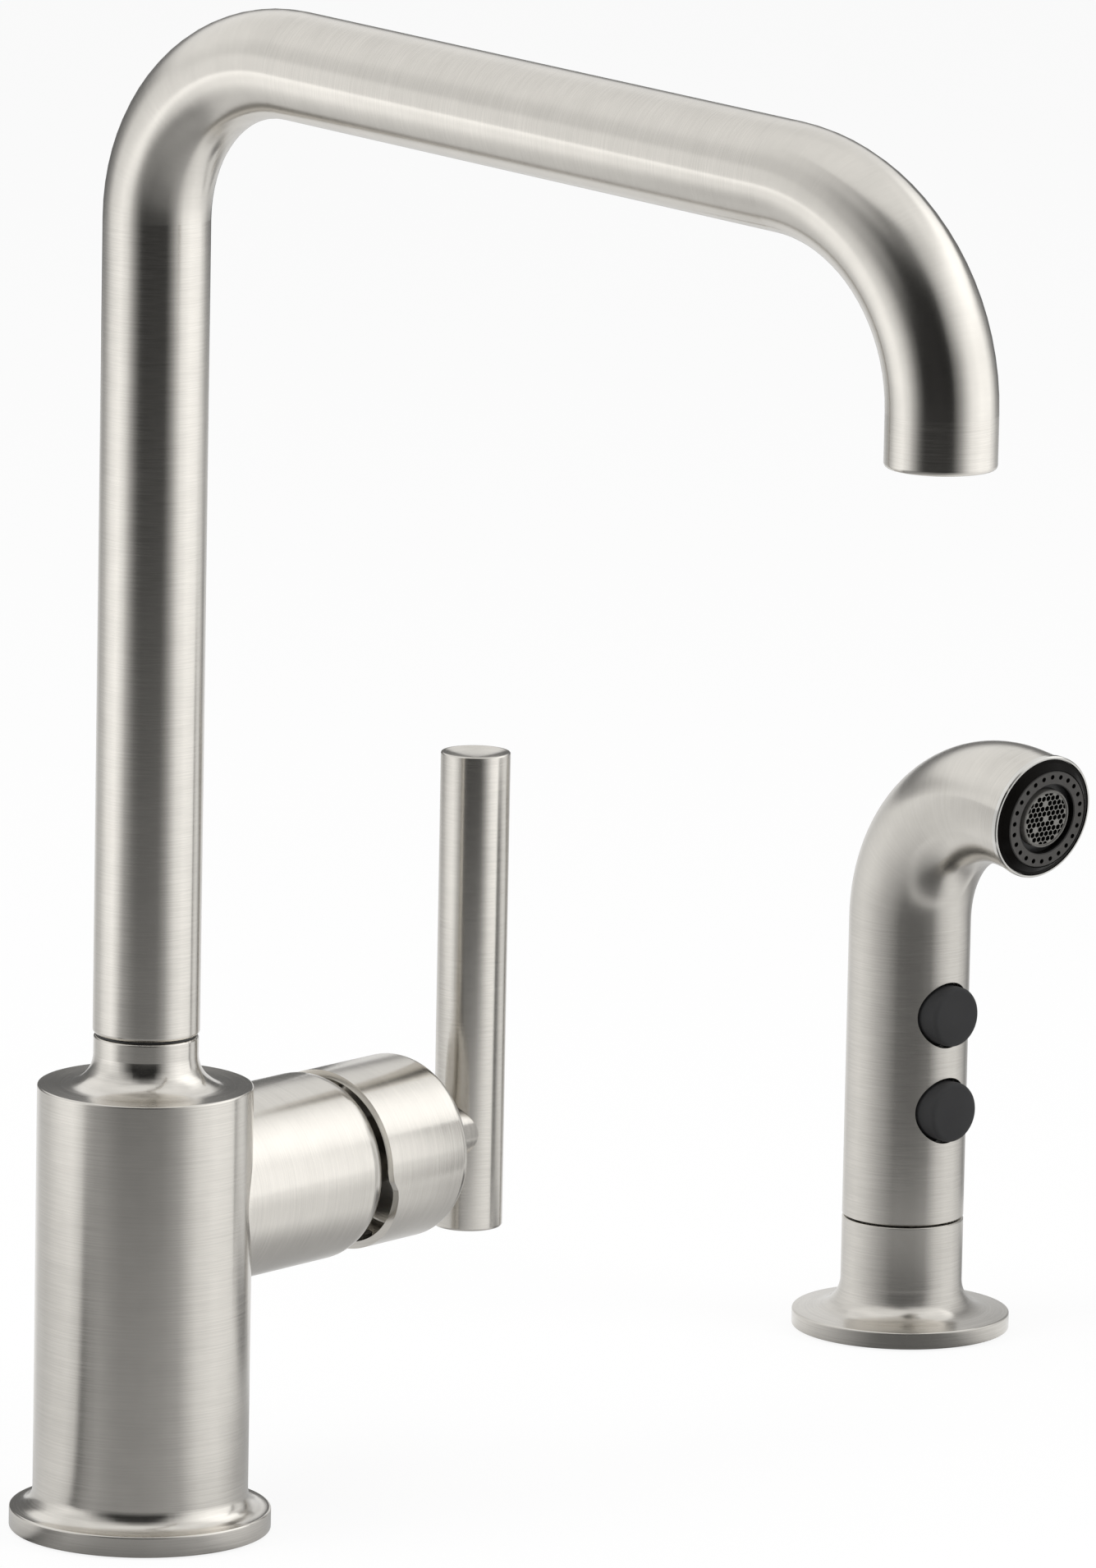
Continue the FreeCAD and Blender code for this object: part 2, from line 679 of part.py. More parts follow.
def make_handle():
    """Cup-shaped cap with its hub, the post and the upright lever rod."""
    bore = "cap_radius - cap_wall"
    cap = turned_part("handle_cap", ON_BOSS, [
        (bore, "cap_rear"),
        ("cap_radius", "cap_rear"),
        ("cap_radius", "cap_front"),
        ("foot_radius + running_gap", "cap_front"),
        ("foot_radius + running_gap", "cap_front - post_foot - 0.5"),
        ("0", "cap_front - post_foot - 0.5"),
        ("0", "cap_front - hub_length"),
        ("hub_radius", "cap_front - hub_length"),
        ("hub_radius", "cap_front - cap_end_wall"),
        (bore, "cap_front - cap_end_wall"),
    ])
    ease(cap, "cap_end_round", "cap_end_wall - 0.1", [rim("cap_radius", "cap_front")])
    ease(cap, "cap_inner_round", "1.2", [rim(bore, "cap_front - cap_end_wall")])
    # Below mid height the rear rim is cut back in a slant, so that it clears the boss as it tilts.
    relief = new_sketch(cap, "XZ_Plane", "rim_relief_outline")
    draw_loop(relief, [
        ("-0.5", "cap_rear - 1"),
        ("-0.5", "cap_rear"),
        ("1.5", "cap_rear + 0.5"),
        ("3.5", "cap_rear + 2"),
        ("5.5", "cap_rear + 2.7"),
        ("cap_radius + 1", "cap_rear + 6.2"),
        ("cap_radius + 1", "cap_rear - 1"),
    ])
    extrude(cap, relief, "rim_relief", "cap_radius * 2 + 2", cut=True, middle=True)
    socket = new_sketch(cap, "XY_Plane", "stem_socket_outline", "cap_front - hub_length")
    half = "stem_width / 2 + running_gap"
    draw_box(socket, f"-({half})", half, f"-({half})", half)
    extrude(cap, socket, "stem_socket", "pivot_offset - 5 + stem_length - cap_front + hub_length + slack",
            cut=True, reverse=True)
    level = [("0", "cap_front - screw_level")]
    drill(cap, "set_screw_thread", "YZ_Plane", "screw_radius + running_gap", level,
          "hub_radius + 1", "hub_radius")
    drill(cap, "key_hole", "YZ_Plane", "plug_radius + running_gap", level, "cap_radius + 1", "cap_wall + 3")
    make_set_screw()
    make_post()
    make_lever()


def make_set_screw():
    """Socket-headed screw up into the hub from below, and the plug of its key hole."""
    downward = ON_BOSS * place(up="cap_front - screw_level", axis=Vector(0, 1, 0), turn="90")
    tip = "screw_radius - 1"
    screw = turned_part("set_screw", downward * place(up="stem_width / 2 + slack / 2"), [
        ("0", "0"), (tip, "0"), ("screw_radius", "1"),
        ("screw_radius", "screw_length"), ("0", "screw_length")])
    key = new_sketch(screw, "XY_Plane", "key_socket_outline", "screw_length")
    corner = "screw_radius * 0.58"
    draw_loop(key, [(f"{corner} * cos({60 * k}deg)", f"{corner} * sin({60 * k}deg)") for k in range(6)])
    extrude(screw, key, "key_socket", "screw_length / 2", cut=True)
    ring("screw_plug", downward * place(up="cap_radius - cap_wall - 1"), "0", "plug_radius",
         "0", "cap_wall + 0.9")


def make_post():
    """Short round post, hollowed at its end to seat on the rod, with a spigot into each side."""
    foot = "cap_front - post_foot"
    post = turned_part("handle_post", ON_BOSS, [
        ("0", foot), ("foot_radius", foot), ("foot_radius", "cap_front"),
        ("post_radius", "cap_front"), ("post_radius", "lever_offset"), ("0", "lever_offset")])
    saddle = new_sketch(post, "YZ_Plane", "saddle_circle", "-lever_radius")
    draw_circle(saddle, "lever_radius + running_gap / 2", "0", "lever_offset")
    extrude(post, saddle, "saddle", "lever_radius * 2", cut=True, reverse=True)
    spigot = new_sketch(post, "XY_Plane", "spigot_circle", "lever_offset - lever_radius - spigot_length")
    draw_circle(spigot, "spigot_radius")
    extrude(post, spigot, "spigot", "lever_radius + spigot_length + 1")


def make_lever():
    """Round rod with eased ends and a shallow dish in its top."""
    length = "lever_high - lever_low"
    lever = turned_part("handle_lever", place("lever_offset", "0", "lever_low"), [
        ("0", "0"), ("lever_radius", "0"), ("lever_radius", length),
        ("lever_radius - lever_edge", length), ("0", f"{length} - lever_dish")])
    ease(lever, "lever_edges", "lever_edge / 2", [rim("lever_radius", "0"), rim("lever_radius", length)])
    drill(lever, "spigot_hole", "YZ_Plane", "spigot_radius + running_gap / 2",
          [("0", "boss_height - lever_low")], "-lever_radius - 0.5", "lever_radius + 1.7", reverse=True)


FRONT_BEND_END = (
    "rise_top + (rear_bend - front_bend) * cos(arm_slope * 1deg)"
    " - (spout_reach - front_bend - rear_bend + (front_bend - rear_bend) * sin(arm_slope * 1deg))"
    " * tan(arm_slope * 1deg)"
)


def draw_spout_path(sketch):
    """Up, over in a tight bend, along the sloping arm and down in a wide bend."""
    slope = math.radians(amount_of("arm_slope"))
    rear, front = amount_of("rear_bend"), amount_of("front_bend")
    low, rise, drop = amount_of("tube_low"), amount_of("rise_top"), amount_of("outlet_height")
    reach = amount_of("spout_reach")
    arm_start = Vector(-rear - rear * math.sin(slope), rise + rear * math.cos(slope), 0)
    arm_end_out = reach - front + front * math.sin(slope)
    arm_end = Vector(-arm_end_out, arm_start.y - (arm_end_out + arm_start.x) * math.tan(slope), 0)
    front_centre = Vector(-reach + front, arm_end.y - front * math.cos(slope), 0)
    riser = sketch.addGeometry(Part.LineSegment(Vector(0, low, 0), Vector(0, rise, 0)))
    back = sketch.addGeometry(arc_between(Vector(-rear, rise, 0), rear, 0, math.pi / 2 + slope))
    arm = sketch.addGeometry(Part.LineSegment(arm_start, arm_end))
    nose = sketch.addGeometry(arc_between(front_centre, front, math.pi / 2 + slope, math.pi))
    fall = sketch.addGeometry(Part.LineSegment(Vector(-reach, front_centre.y, 0), Vector(-reach, drop, 0)))
    for first, second in (((riser, 2), (back, 1)), ((back, 2), (arm, 1)),
                          ((arm, 2), (nose, 1)), ((nose, 2), (fall, 1))):
        join_tangent(sketch, first, second)
    hold(sketch, "DistanceX", riser, 1, "0")
    hold(sketch, "DistanceY", riser, 1, "tube_low")
    sketch.addConstraint(Sketcher.Constraint("Vertical", riser))
    sketch.addConstraint(Sketcher.Constraint("Vertical", fall))
    bind(sketch, "rear_bend", "Radius", back)
    bind(sketch, "front_bend", "Radius", nose)
    hold(sketch, "DistanceY", riser, 2, "rise_top")
    hold(sketch, "DistanceX", fall, 2, "-spout_reach")
    hold(sketch, "DistanceY", fall, 2, "outlet_height")
    hold(sketch, "DistanceY", nose, 2, FRONT_BEND_END)


def make_spout():
    """The bent tube, the post that it turns on and the stream former in its outlet."""
    spout = new_body("spout_tube", ON_FAUCET)
    bent_tube(spout, "spout", "tube_radius", "tube_radius - tube_wall", "tube_low", draw_spout_path)
    ease(spout, "spout_edges", "0.9",
         [rim("tube_radius", "tube_low"), ("tube_radius", ("0", "-spout_reach", "outlet_height"))])

    make_swivel_post()
    make_snap_ring()
    ring("glide_ring", ON_FAUCET, "swivel_radius + slack / 2", "neck_radius - 0.5",
         "neck_top + running_gap", "tube_low - running_gap")
    ring("diverter", ON_FAUCET, "diverter_bore", "diverter_radius - running_gap",
         "diverter_floor + waterway_radius", "swivel_floor")
    make_outlet()


def make_swivel_post():
    """Hollow post in the foot of the tube, grooved for two seals and the snap ring."""
    low, top = "swivel_floor + 1", "tube_low + post_rise"
    wall, in_tube = "swivel_radius - running_gap", "tube_radius - tube_wall - running_gap"
    post = turned_part("swivel_post", ON_FAUCET, [
        ("post_bore", low), (wall, low), (wall, "tube_low"),
        (in_tube, "tube_low"), (in_tube, top), ("post_bore", top)])
    grooves = new_sketch(post, "XZ_Plane", "ring_grooves_section")
    ring_lows = ["swivel_floor + 3.5", "swivel_floor + 9.5"]
    for ring_low in ring_lows:
        draw_box(grooves, "swivel_radius - ring_depth", "swivel_radius + 1",
                 ring_low, f"{ring_low} + ring_height")
    clip_low = "neck_top - clip_drop"
    draw_box(grooves, "swivel_radius - clip_depth - slack", "swivel_radius + 1", clip_low,
             f"{clip_low} + clip_height")
    spin(post, grooves, "ring_grooves", cut=True)
    seal_rings("spout_seals", ON_FAUCET, "swivel_radius - running_gap / 2",
               "swivel_radius - ring_depth + slack / 4", "ring_height - 2 * slack",
               [("0", "0", f"{ring_low} + slack") for ring_low in ring_lows])


def make_snap_ring():
    """Open ring that locks the spout in its socket."""
    low, thickness = "neck_top - clip_drop + slack", "clip_height - 2 * slack"
    clip = ring("snap_ring", ON_FAUCET, "swivel_radius - clip_depth",
                "swivel_radius + clip_depth - slack / 2", low, f"{low} + {thickness}")
    gap = new_sketch(clip, "XY_Plane", "snap_ring_gap_outline", low)
    draw_box(gap, "0", "swivel_radius + 2", "-clip_height", "clip_height")
    extrude(clip, gap, "snap_ring_gap", thickness, cut=True, reverse=True)


def make_outlet():
    """Threaded housing, stream former plate and washer, set just inside the tube's mouth."""
    bore, top = "tube_radius - tube_wall", "outlet_setback + 7.8"
    ring("aerator_housing", ON_OUTLET, "outlet_bore", f"{bore} - running_gap", "outlet_setback", top)
    low, sheet = "outlet_setback * 2", "1.2"
    former = turned_part("stream_former", ON_OUTLET, [
        ("0", low), ("outlet_bore - running_gap", low), ("outlet_bore - running_gap", "6"),
        ("outlet_bore - 1.2", "6"), ("outlet_bore - 1.2", f"{low} + {sheet}"), ("0", f"{low} + {sheet}")])
    spots = []
    for number in range(STREAM_RINGS):
        count = max(1, 6 * number)
        for angle in (360 * k / count for k in range(count)):
            reach = f"{number} * stream_pitch"
            spots.append((f"{reach} * cos({angle}deg)", f"{reach} * sin({angle}deg)"))
    drill(former, "stream_holes", "XY_Plane", "stream_hole", spots, low, sheet, reverse=True)
    ring("aerator_washer", ON_OUTLET, "outlet_bore - 1.2", f"{bore} - slack",
         f"{top} + slack / 2", f"{top} + 1.6")


def make_holder():
    """Flanged holder with its liner, seal, shank, washer and nut."""
    seal_outer = "holder_flange_radius - seal_margin"
    seal_inner = f"{seal_outer} - seal_width"
    shoulder = "holder_flange_height + 1.3"
    holder = turned_part("spray_holder", ON_HOLDER, [
        ("holder_shank_radius + running_gap", "lip_height"),
        (seal_inner, "lip_height"),
        (seal_inner, "lip_height + seal_depth"),
        (seal_outer, "lip_height + seal_depth"),
        (seal_outer, "lip_height"),
        ("holder_flange_radius", "lip_height"),
        ("holder_flange_radius", "holder_flange_height"),
        ("handset_radius", shoulder),
        ("handset_radius", "holder_top"),
        ("guide_radius + liner_wall", "holder_top"),
        ("guide_radius + liner_wall", "holder_floor"),
        ("holder_shank_radius + running_gap", "holder_floor"),
    ])
    ease(holder, "holder_cove_round", "holder_cove", [rim("handset_radius", shoulder)])
    ease(holder, "holder_edges", "fine_edge",
         [rim("holder_flange_radius", "holder_flange_height"),
          rim("holder_flange_radius", "lip_height"), rim("handset_radius", "holder_top")])
    outer = "guide_radius + liner_wall - running_gap"
    low, high = "holder_floor + slack / 2", "holder_top - 0.4"
    turned_part("holder_liner", ON_HOLDER, [
        ("guide_radius", low), (outer, low), (outer, high), (f"{outer} - 0.55", high),
        ("guide_radius", f"{high} - 1.2")])
    base_seal("holder_gasket", ON_HOLDER, "holder_flange_radius")
    bore, top = "holder_shank_radius - holder_shank_wall", "shank_end + holder_floor - slack"
    turned_part("holder_shank", place("spray_offset", up="-shank_end"), [
        (bore, "0"),
        ("holder_shank_radius - thread_chamfer", "0"),
        ("holder_shank_radius", "thread_chamfer"),
        ("holder_shank_radius", top),
        (bore, top),
    ])
    washer_low = "-deck_thickness - washer_sheet"
    ring("holder_washer", place("spray_offset", up=washer_low), "holder_shank_radius + slack",
         "holder_shank_radius + washer_width", "0", "washer_sheet")
    hex_nut("holder_nut", place("spray_offset", up=f"{washer_low} - nut_height"), "holder_nut_flats",
            "holder_shank_radius + running_gap", "nut_height")


def draw_head_path(sketch, start, nose):
    """Straight up the grip, round the head's bend and out to the nose."""
    bend = amount_of("head_bend")
    turn = math.radians(amount_of("head_turn"))
    bottom, bend_start = amount_of(start), amount_of("head_bend_start")
    centre = Vector(-bend, bend_start, 0)
    bend_end = centre + Vector(math.cos(turn), math.sin(turn), 0) * bend
    tip = bend_end + Vector(-math.sin(turn), math.cos(turn), 0) * amount_of(nose)
    grip = sketch.addGeometry(Part.LineSegment(Vector(0, bottom, 0), Vector(0, bend_start, 0)))
    neck = sketch.addGeometry(arc_between(centre, bend, 0, turn))
    front = sketch.addGeometry(Part.LineSegment(bend_end, tip))
    join_tangent(sketch, (grip, 2), (neck, 1))
    join_tangent(sketch, (neck, 2), (front, 1))
    hold(sketch, "DistanceX", grip, 1, "0")
    hold(sketch, "DistanceY", grip, 1, start)
    sketch.addConstraint(Sketcher.Constraint("Vertical", grip))
    hold(sketch, "DistanceY", grip, 2, "head_bend_start")
    bind(sketch, "head_bend", "Radius", neck)
    bind(sketch, nose, "Distance", front)
    hold(sketch, "DistanceX", neck, 2, "-head_bend * (1 - cos(head_turn * 1deg))")


def make_handset_shell():
    """Bent metal tube with its two button holes."""
    shell = new_body("handset_shell", ON_HANDSET)
    bent_tube(shell, "handset", "handset_radius", "handset_radius - handset_wall", "handset_low",
              lambda sketch: draw_head_path(sketch, "handset_low", "head_nose - rim_depth"))
    ease(shell, "handset_foot", "fine_edge", [rim("handset_radius", "handset_low")])
    heights = [("0", "upper_button_height"), ("0", "lower_button_height")]
    drill(shell, "button_holes", "XZ_Plane", "button_radius + button_gap", heights,
          "handset_radius + 1", "handset_radius - 1")


def make_handset_core():
    """Moulded valve body in the grip: coupling socket, button wells and spring pockets."""
    radius = "handset_radius - handset_wall - slack / 2"
    socket, foot, floor = "swivel_radius - 0.55", "handset_low + 0.4", "handset_low + 11.8"
    top, bore = "head_bend_start - 4", "water_bore + running_gap"
    core = turned_part("handset_core", ON_HANDSET, [
        (socket, foot), (radius, foot), (radius, top), (bore, top), (bore, floor), (socket, floor)])
    heights = [("0", "upper_button_height"), ("0", "lower_button_height")]
    drill(core, "button_wells", "XZ_Plane", "button_flange + slack", heights,
          "handset_radius", "handset_radius - button_back + well_depth")
    drill(core, "spring_pockets", "XZ_Plane", "spring_radius + 1", heights, "6", "2")


def make_button(label, height):
    """Rubber button: eased round face, barrel through the shell and a flange that keeps it in."""
    where = ON_HANDSET * place(up=height, axis=Vector(1, 0, 0), turn="90")
    front = "button_back + button_sheet"
    button = turned_part(label, where, [
        ("0", "button_back"), ("button_flange", "button_back"), ("button_flange", front),
        ("button_radius", front), ("button_radius", "button_reach"), ("0", "button_reach")])
    ease(button, label + "_face_round", "button_sheet", [rim("button_radius", "button_reach")])


def make_spring(label, height):
    """Return spring behind a button: an open coil."""
    coil = doc.addObject("Part::Helix", label + "_path")
    coil.setExpression("Pitch", linked("spring_pitch"))
    coil.setExpression("Height", linked("spring_length"))
    coil.setExpression("Radius", linked("spring_radius"))
    wire = doc.addObject("Part::RegularPolygon", label + "_wire")
    wire.Polygon = 8
    wire.setExpression("Circumradius", linked("spring_wire"))
    wire.Placement = Placement(Vector(amount_of("spring_radius"), 0, 0), Rotation(Vector(1, 0, 0), 90))
    spring = doc.addObject("Part::Sweep", label)
    spring.Sections = [wire]
    spring.Spine = (coil, [])
    spring.Solid = True
    spring.Frenet = True
    spring.Placement = (ON_HANDSET * place(up=height, axis=Vector(1, 0, 0), turn="90")
                        * place(up="spring_back"))
    spring.Label = label
    sub_parts.append(spring)


def make_coupling():
    """Hose end: collar in the holder's liner, spigot into the grip, seal, and the hose thread."""
    where = ON_HANDSET * place(up="coupling_low")
    collar, spigot = "guide_radius - slack / 2", "swivel_radius - 0.6"
    shoulder, top = "handset_low - coupling_low - slack", "handset_low + spigot_rise"
    coupling = turned_part("hose_coupling", where, [
        ("hose_port_radius", "0"),
        (collar, "0"),
        (collar, shoulder),
        (spigot, shoulder),
        (spigot, top),
        ("coupling_bore", top),
        ("coupling_bore", "hose_port_depth"),
        ("hose_port_radius", "hose_port_depth"),
    ])
    ease(coupling, "coupling_lead", "0.6", [rim(collar, "0")], kind="Chamfer")
    groove = new_sketch(coupling, "XZ_Plane", "coupling_groove_section")
    groove_floor, groove_low = "swivel_radius - 2", "handset_low + 3"
    draw_box(groove, groove_floor, "swivel_radius + 1", groove_low, f"{groove_low} + ring_height")
    spin(coupling, groove, "coupling_groove", cut=True)
    seal_rings("coupling_seal", where, spigot, f"{groove_floor} + slack / 4", "ring_height - 2 * slack",
               [("0", "0", f"{groove_low} + slack")])


def make_water_tube():
    """Inner pipe that carries water from the grip round to the head."""
    tube = new_body("water_tube", ON_HANDSET)
    start = "head_bend_start - 3.9"
    bent_tube(tube, "water", "water_radius", "water_bore", start,
              lambda sketch: draw_head_path(sketch, start, "water_nose"))


def make_spray_face():
    """Head insert, bright rim, glossy surround, soft nozzle ring and honeycomb stream former."""
    plug, seat, back = "water_radius + slack / 2", "-rim_depth", "-head_nose - 1.2"
    turned_part("head_insert", ON_NOSE, [
        (plug, back), ("insert_radius", back), ("insert_radius", seat),
        ("insert_radius + 1.2", seat), ("insert_radius + 1.2", f"{seat} + 1"),
        ("stream_radius + slack / 2", f"{seat} + 1"), ("stream_radius + slack / 2", "-head_nose + 1.2"),
        (plug, "-head_nose + 1.2")])
    ledge, bottom = "insert_radius + 1.4", f"{seat} + running_gap"
    turned_part("face_rim", ON_NOSE, [
        (ledge, bottom),
        ("rim_radius - 0.25", bottom),
        ("rim_radius", f"{bottom} + 0.3"),
        ("rim_radius", "-0.3"),
        ("rim_radius - 0.2", "0"),
        ("rim_bore + 0.1", "0"),
        ("rim_bore", "-0.45"),
        (ledge, "-0.45"),
    ])
    sheet_low, sheet_high, inner = "-0.4", "0.5", "nozzle_inner + slack / 2"
    turned_part("face_surround", ON_NOSE, [
        (inner, sheet_low), ("face_radius", sheet_low), ("face_radius", "-0.15"),
        ("face_radius - 0.7", "0.15"), ("nozzle_outer + 0.15", "nozzle_rise - 0.1"),
        ("nozzle_outer + 0.1", sheet_high), (inner, sheet_high)])
    ring_low, shoulder = f"{sheet_high} + running_gap", "nozzle_rise - 0.2"
    nozzles = turned_part("nozzle_ring", ON_NOSE, [
        ("nozzle_inner", ring_low), ("nozzle_outer", ring_low), ("nozzle_outer", shoulder),
        ("nozzle_outer - 0.2", "nozzle_rise"), ("nozzle_inner + 0.2", "nozzle_rise"),
        ("nozzle_inner", shoulder)])
    hole = new_sketch(nozzles, "XY_Plane", "nozzle_spot", "nozzle_rise")
    draw_circle(hole, "nozzle_hole", "nozzle_circle", "0")
    cut = extrude(nozzles, hole, "nozzle", "nozzle_rise", cut=True)
    spread_round(nozzles, cut, "nozzles", NOZZLE_COUNT)
    turned_part("stream_ring", ON_NOSE, [
        ("honeycomb_radius", "-stream_depth"), ("stream_radius", "-stream_depth"),
        ("stream_radius", f"{shoulder} - 0.2"), ("stream_radius - 0.15", shoulder),
        ("honeycomb_radius", shoulder)])
    make_honeycomb()


def make_honeycomb():
    """Plate of hexagonal cells cut off at its rim, left solid at its middle and its three pins."""
    radius, pitch = amount_of("honeycomb_radius - running_gap / 2"), amount_of("cell_pitch")
    wall = amount_of("cell_wall")
    cell = (pitch - wall) / 2 / math.cos(math.pi / 6)
    thickness, top = amount_of("honeycomb_sheet"), amount_of("nozzle_rise") - 0.45
    pin_cells = [(0, 0), (-2, 3), (3, -1), (-1, -2)]
    plate = Part.makeCylinder(radius, thickness, Vector(0, 0, top - thickness))
    inside_rim = Part.makeCylinder(radius - wall, thickness + 0.2, Vector(0, 0, top - thickness - 0.1))
    cutters = []
    for column in range(-7, 8):
        for row in range(-5, 6):
            centre = Vector(pitch * (column + row / 2), pitch * row * math.sin(math.pi / 3), 0)
            if (column, row) in pin_cells or centre.Length > radius - wall:
                continue
            corners = [centre + Vector(math.cos(angle), math.sin(angle), 0) * cell
                       for angle in (math.pi / 6 + math.pi / 3 * k for k in range(6))]
            outline = Part.makePolygon(corners + corners[:1])
            outline.translate(Vector(0, 0, top - thickness - 0.1))
            cutters.append(Part.Face(outline).extrude(Vector(0, 0, thickness + 0.2)))
    honeycomb = doc.addObject("Part::Feature", "honeycomb")
    honeycomb.Shape = plate.cut(Part.makeCompound(cutters).common(inside_rim))
    honeycomb.Placement = ON_NOSE
    sub_parts.append(honeycomb)


def make_handset():
    make_handset_shell()
    make_handset_core()
    make_coupling()
    make_water_tube()
    make_spray_face()
    for name in ("upper", "lower"):
        make_button(f"{name}_button", f"{name}_button_height")
        make_spring(f"{name}_button_spring", f"{name}_button_height")


def check_and_write():
    doc.recompute()
    for item in doc.Objects:
        if "Invalid" in item.State or "Error" in item.State:
            raise RuntimeError(f"{item.Label} has failed: {item.State}")
    for part in sub_parts:
        shape = part.Shape
        if shape.isNull() or not shape.isValid() or not shape.Solids:
            raise RuntimeError(f"{part.Label} has no sound shape")
    os.makedirs("parts", exist_ok=True)
    for part in sub_parts:
        part.Shape.exportStep(f"parts/{part.Label}.step")
        print(f"{part.Label}: {len(part.Shape.Solids)} solid, {part.Shape.Volume:.0f} mm3")


make_faucet_body()
make_deck_clamp()
make_cartridge()
make_cartridge_clamp()
make_handle()
make_spout()
make_holder()
make_handset()
check_and_write()
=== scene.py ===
import json
import math

import bmesh
import bpy
from mathutils import Matrix, Vector


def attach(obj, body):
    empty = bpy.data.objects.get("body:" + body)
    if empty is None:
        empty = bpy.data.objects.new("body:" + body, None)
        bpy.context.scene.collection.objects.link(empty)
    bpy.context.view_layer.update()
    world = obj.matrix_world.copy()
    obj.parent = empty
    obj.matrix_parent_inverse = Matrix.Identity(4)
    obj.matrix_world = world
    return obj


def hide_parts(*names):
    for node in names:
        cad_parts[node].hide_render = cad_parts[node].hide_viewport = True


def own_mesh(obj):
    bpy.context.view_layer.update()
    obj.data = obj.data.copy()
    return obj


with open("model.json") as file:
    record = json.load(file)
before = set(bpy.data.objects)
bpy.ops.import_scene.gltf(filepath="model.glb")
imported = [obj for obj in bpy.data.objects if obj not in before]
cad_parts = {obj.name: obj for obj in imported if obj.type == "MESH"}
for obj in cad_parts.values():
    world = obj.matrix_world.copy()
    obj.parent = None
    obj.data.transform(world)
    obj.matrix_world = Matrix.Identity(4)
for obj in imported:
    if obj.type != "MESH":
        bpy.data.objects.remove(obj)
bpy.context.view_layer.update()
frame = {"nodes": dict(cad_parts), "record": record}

# Metres, +Z up, the column on the origin, +X towards the hand spray and -Y towards the user.
scene = bpy.context.scene
scene.view_settings.view_transform = "Standard"
nodes = frame["nodes"]
mm = 0.001
print("frame loaded:", len(nodes), "nodes")

# measures that several pieces share, in millimetres and degrees
bossHeight = 68.3
leverOffset = 102.1
sprayOffset = 250
spraySwing = -8.8            # how far the hand spray is turned about +Z from facing -Y
headTurn = 98.2              # how far its head is bent over from upright

# the places and ways that follow from them, in metres
bossAxis = (0, 0, bossHeight * mm)
leverPlace = (leverOffset * mm, 0, 0)
sprayPlace = (sprayOffset * mm, 0, 0)
swing, bend = math.radians(spraySwing), math.radians(headTurn)
outward = (math.sin(swing), -math.cos(swing), 0)       # the way the spray's buttons face
faceWay = (outward[0] * math.sin(bend), outward[1] * math.sin(bend), math.cos(bend))


# ways of writing node trees

def newTree(name):
    material = bpy.data.materials.new(name)
    material.use_nodes = True
    tree = material.node_tree
    tree.nodes.clear()
    return material, tree


def feed(tree, socket, value):
    if isinstance(value, bpy.types.NodeSocket):
        tree.links.new(value, socket)
    elif hasattr(socket.default_value, "__len__") and len(socket.default_value) == 4 and len(value) == 3:
        socket.default_value = (*value, 1)
    else:
        socket.default_value = value


def add(tree, kind, settings=None, **inputs):
    node = tree.nodes.new("ShaderNode" + kind)
    for key, value in (settings or {}).items():
        setattr(node, key, value)
    for key, value in inputs.items():
        feed(tree, node.inputs[key], value)
    return node


def sums(tree, operation, *terms):
    node = add(tree, "Math", {"operation": operation})
    for socket, term in zip(node.inputs, terms):
        feed(tree, socket, term)
    return node.outputs[0]


def vectors(tree, operation, *terms):
    node = add(tree, "VectorMath", {"operation": operation})
    for socket, term in zip(node.inputs, terms):
        feed(tree, socket, term)
    return node.outputs["Value" if operation in ("DOT_PRODUCT", "LENGTH") else "Vector"]


def scaled(tree, vector, amount):
    node = add(tree, "VectorMath", {"operation": "SCALE"})
    feed(tree, node.inputs[0], vector)
    feed(tree, node.inputs["Scale"], amount)
    return node.outputs[0]


mixSockets = {               # a Mix node's two inputs and its output, for each kind
    "FLOAT": (2, 3, 0),
    "VECTOR": (4, 5, 1),
    "RGBA": (6, 7, 2),
}


def mix(tree, kind, factor, first, second):
    node = add(tree, "Mix", {"data_type": kind})
    firstSocket, secondSocket, result = mixSockets[kind]
    feed(tree, node.inputs[0], factor)
    feed(tree, node.inputs[firstSocket], first)
    feed(tree, node.inputs[secondSocket], second)
    return node.outputs[result]


def objectPlace(tree):
    return add(tree, "TexCoord").outputs["Object"]


def noise(tree, place, scale, detail=2.0, roughness=0.5):
    node = add(tree, "TexNoise", Vector=place, Scale=scale, Detail=detail, Roughness=roughness)
    return node.outputs["Fac"]


# noise values between which a finish goes from one end of its range to the other
narrowSpread = (0.35, 0.65)
wideSpread = (0.3, 0.7)


def between(tree, value, low, high, lowOut=0.0, highOut=1.0):
    node = add(tree, "MapRange", {"interpolation_type": "SMOOTHSTEP"})
    for key, amount in (("Value", value), ("From Min", low), ("From Max", high),
                        ("To Min", lowOut), ("To Max", highOut)):
        feed(tree, node.inputs[key], amount)
    return node.outputs[0]


def finishTree(tree, shader):
    output = add(tree, "OutputMaterial")
    tree.links.new(shader, output.inputs["Surface"])


# brushed metal: fine lines left by turning or by a belt run round the piece

brushedNickel = {
    "colour": (0.66, 0.635, 0.59),
    "lineTone": 0.045,
    "cloudTone": 0.02,
    "cloudSize": 6 * mm,
    "roughness": 0.2,
    "lineRoughness": 0.015,
    "smear": 0.75,
    "linePitch": 0.15 * mm,
    "lineDepth": 0.0005 * mm,
    "linesRound": 1.3,
    "broadShare": 0.06,
    "broadScale": 0.12,
}
softerNickel = {**brushedNickel, "roughness": 0.245}
turning = {
    "radiusShare": 0.6,      # how much a step outwards counts beside a step along the axis
    "lean": 0.4,             # leans the smear inwards, so that flat ends smear towards their middle
}


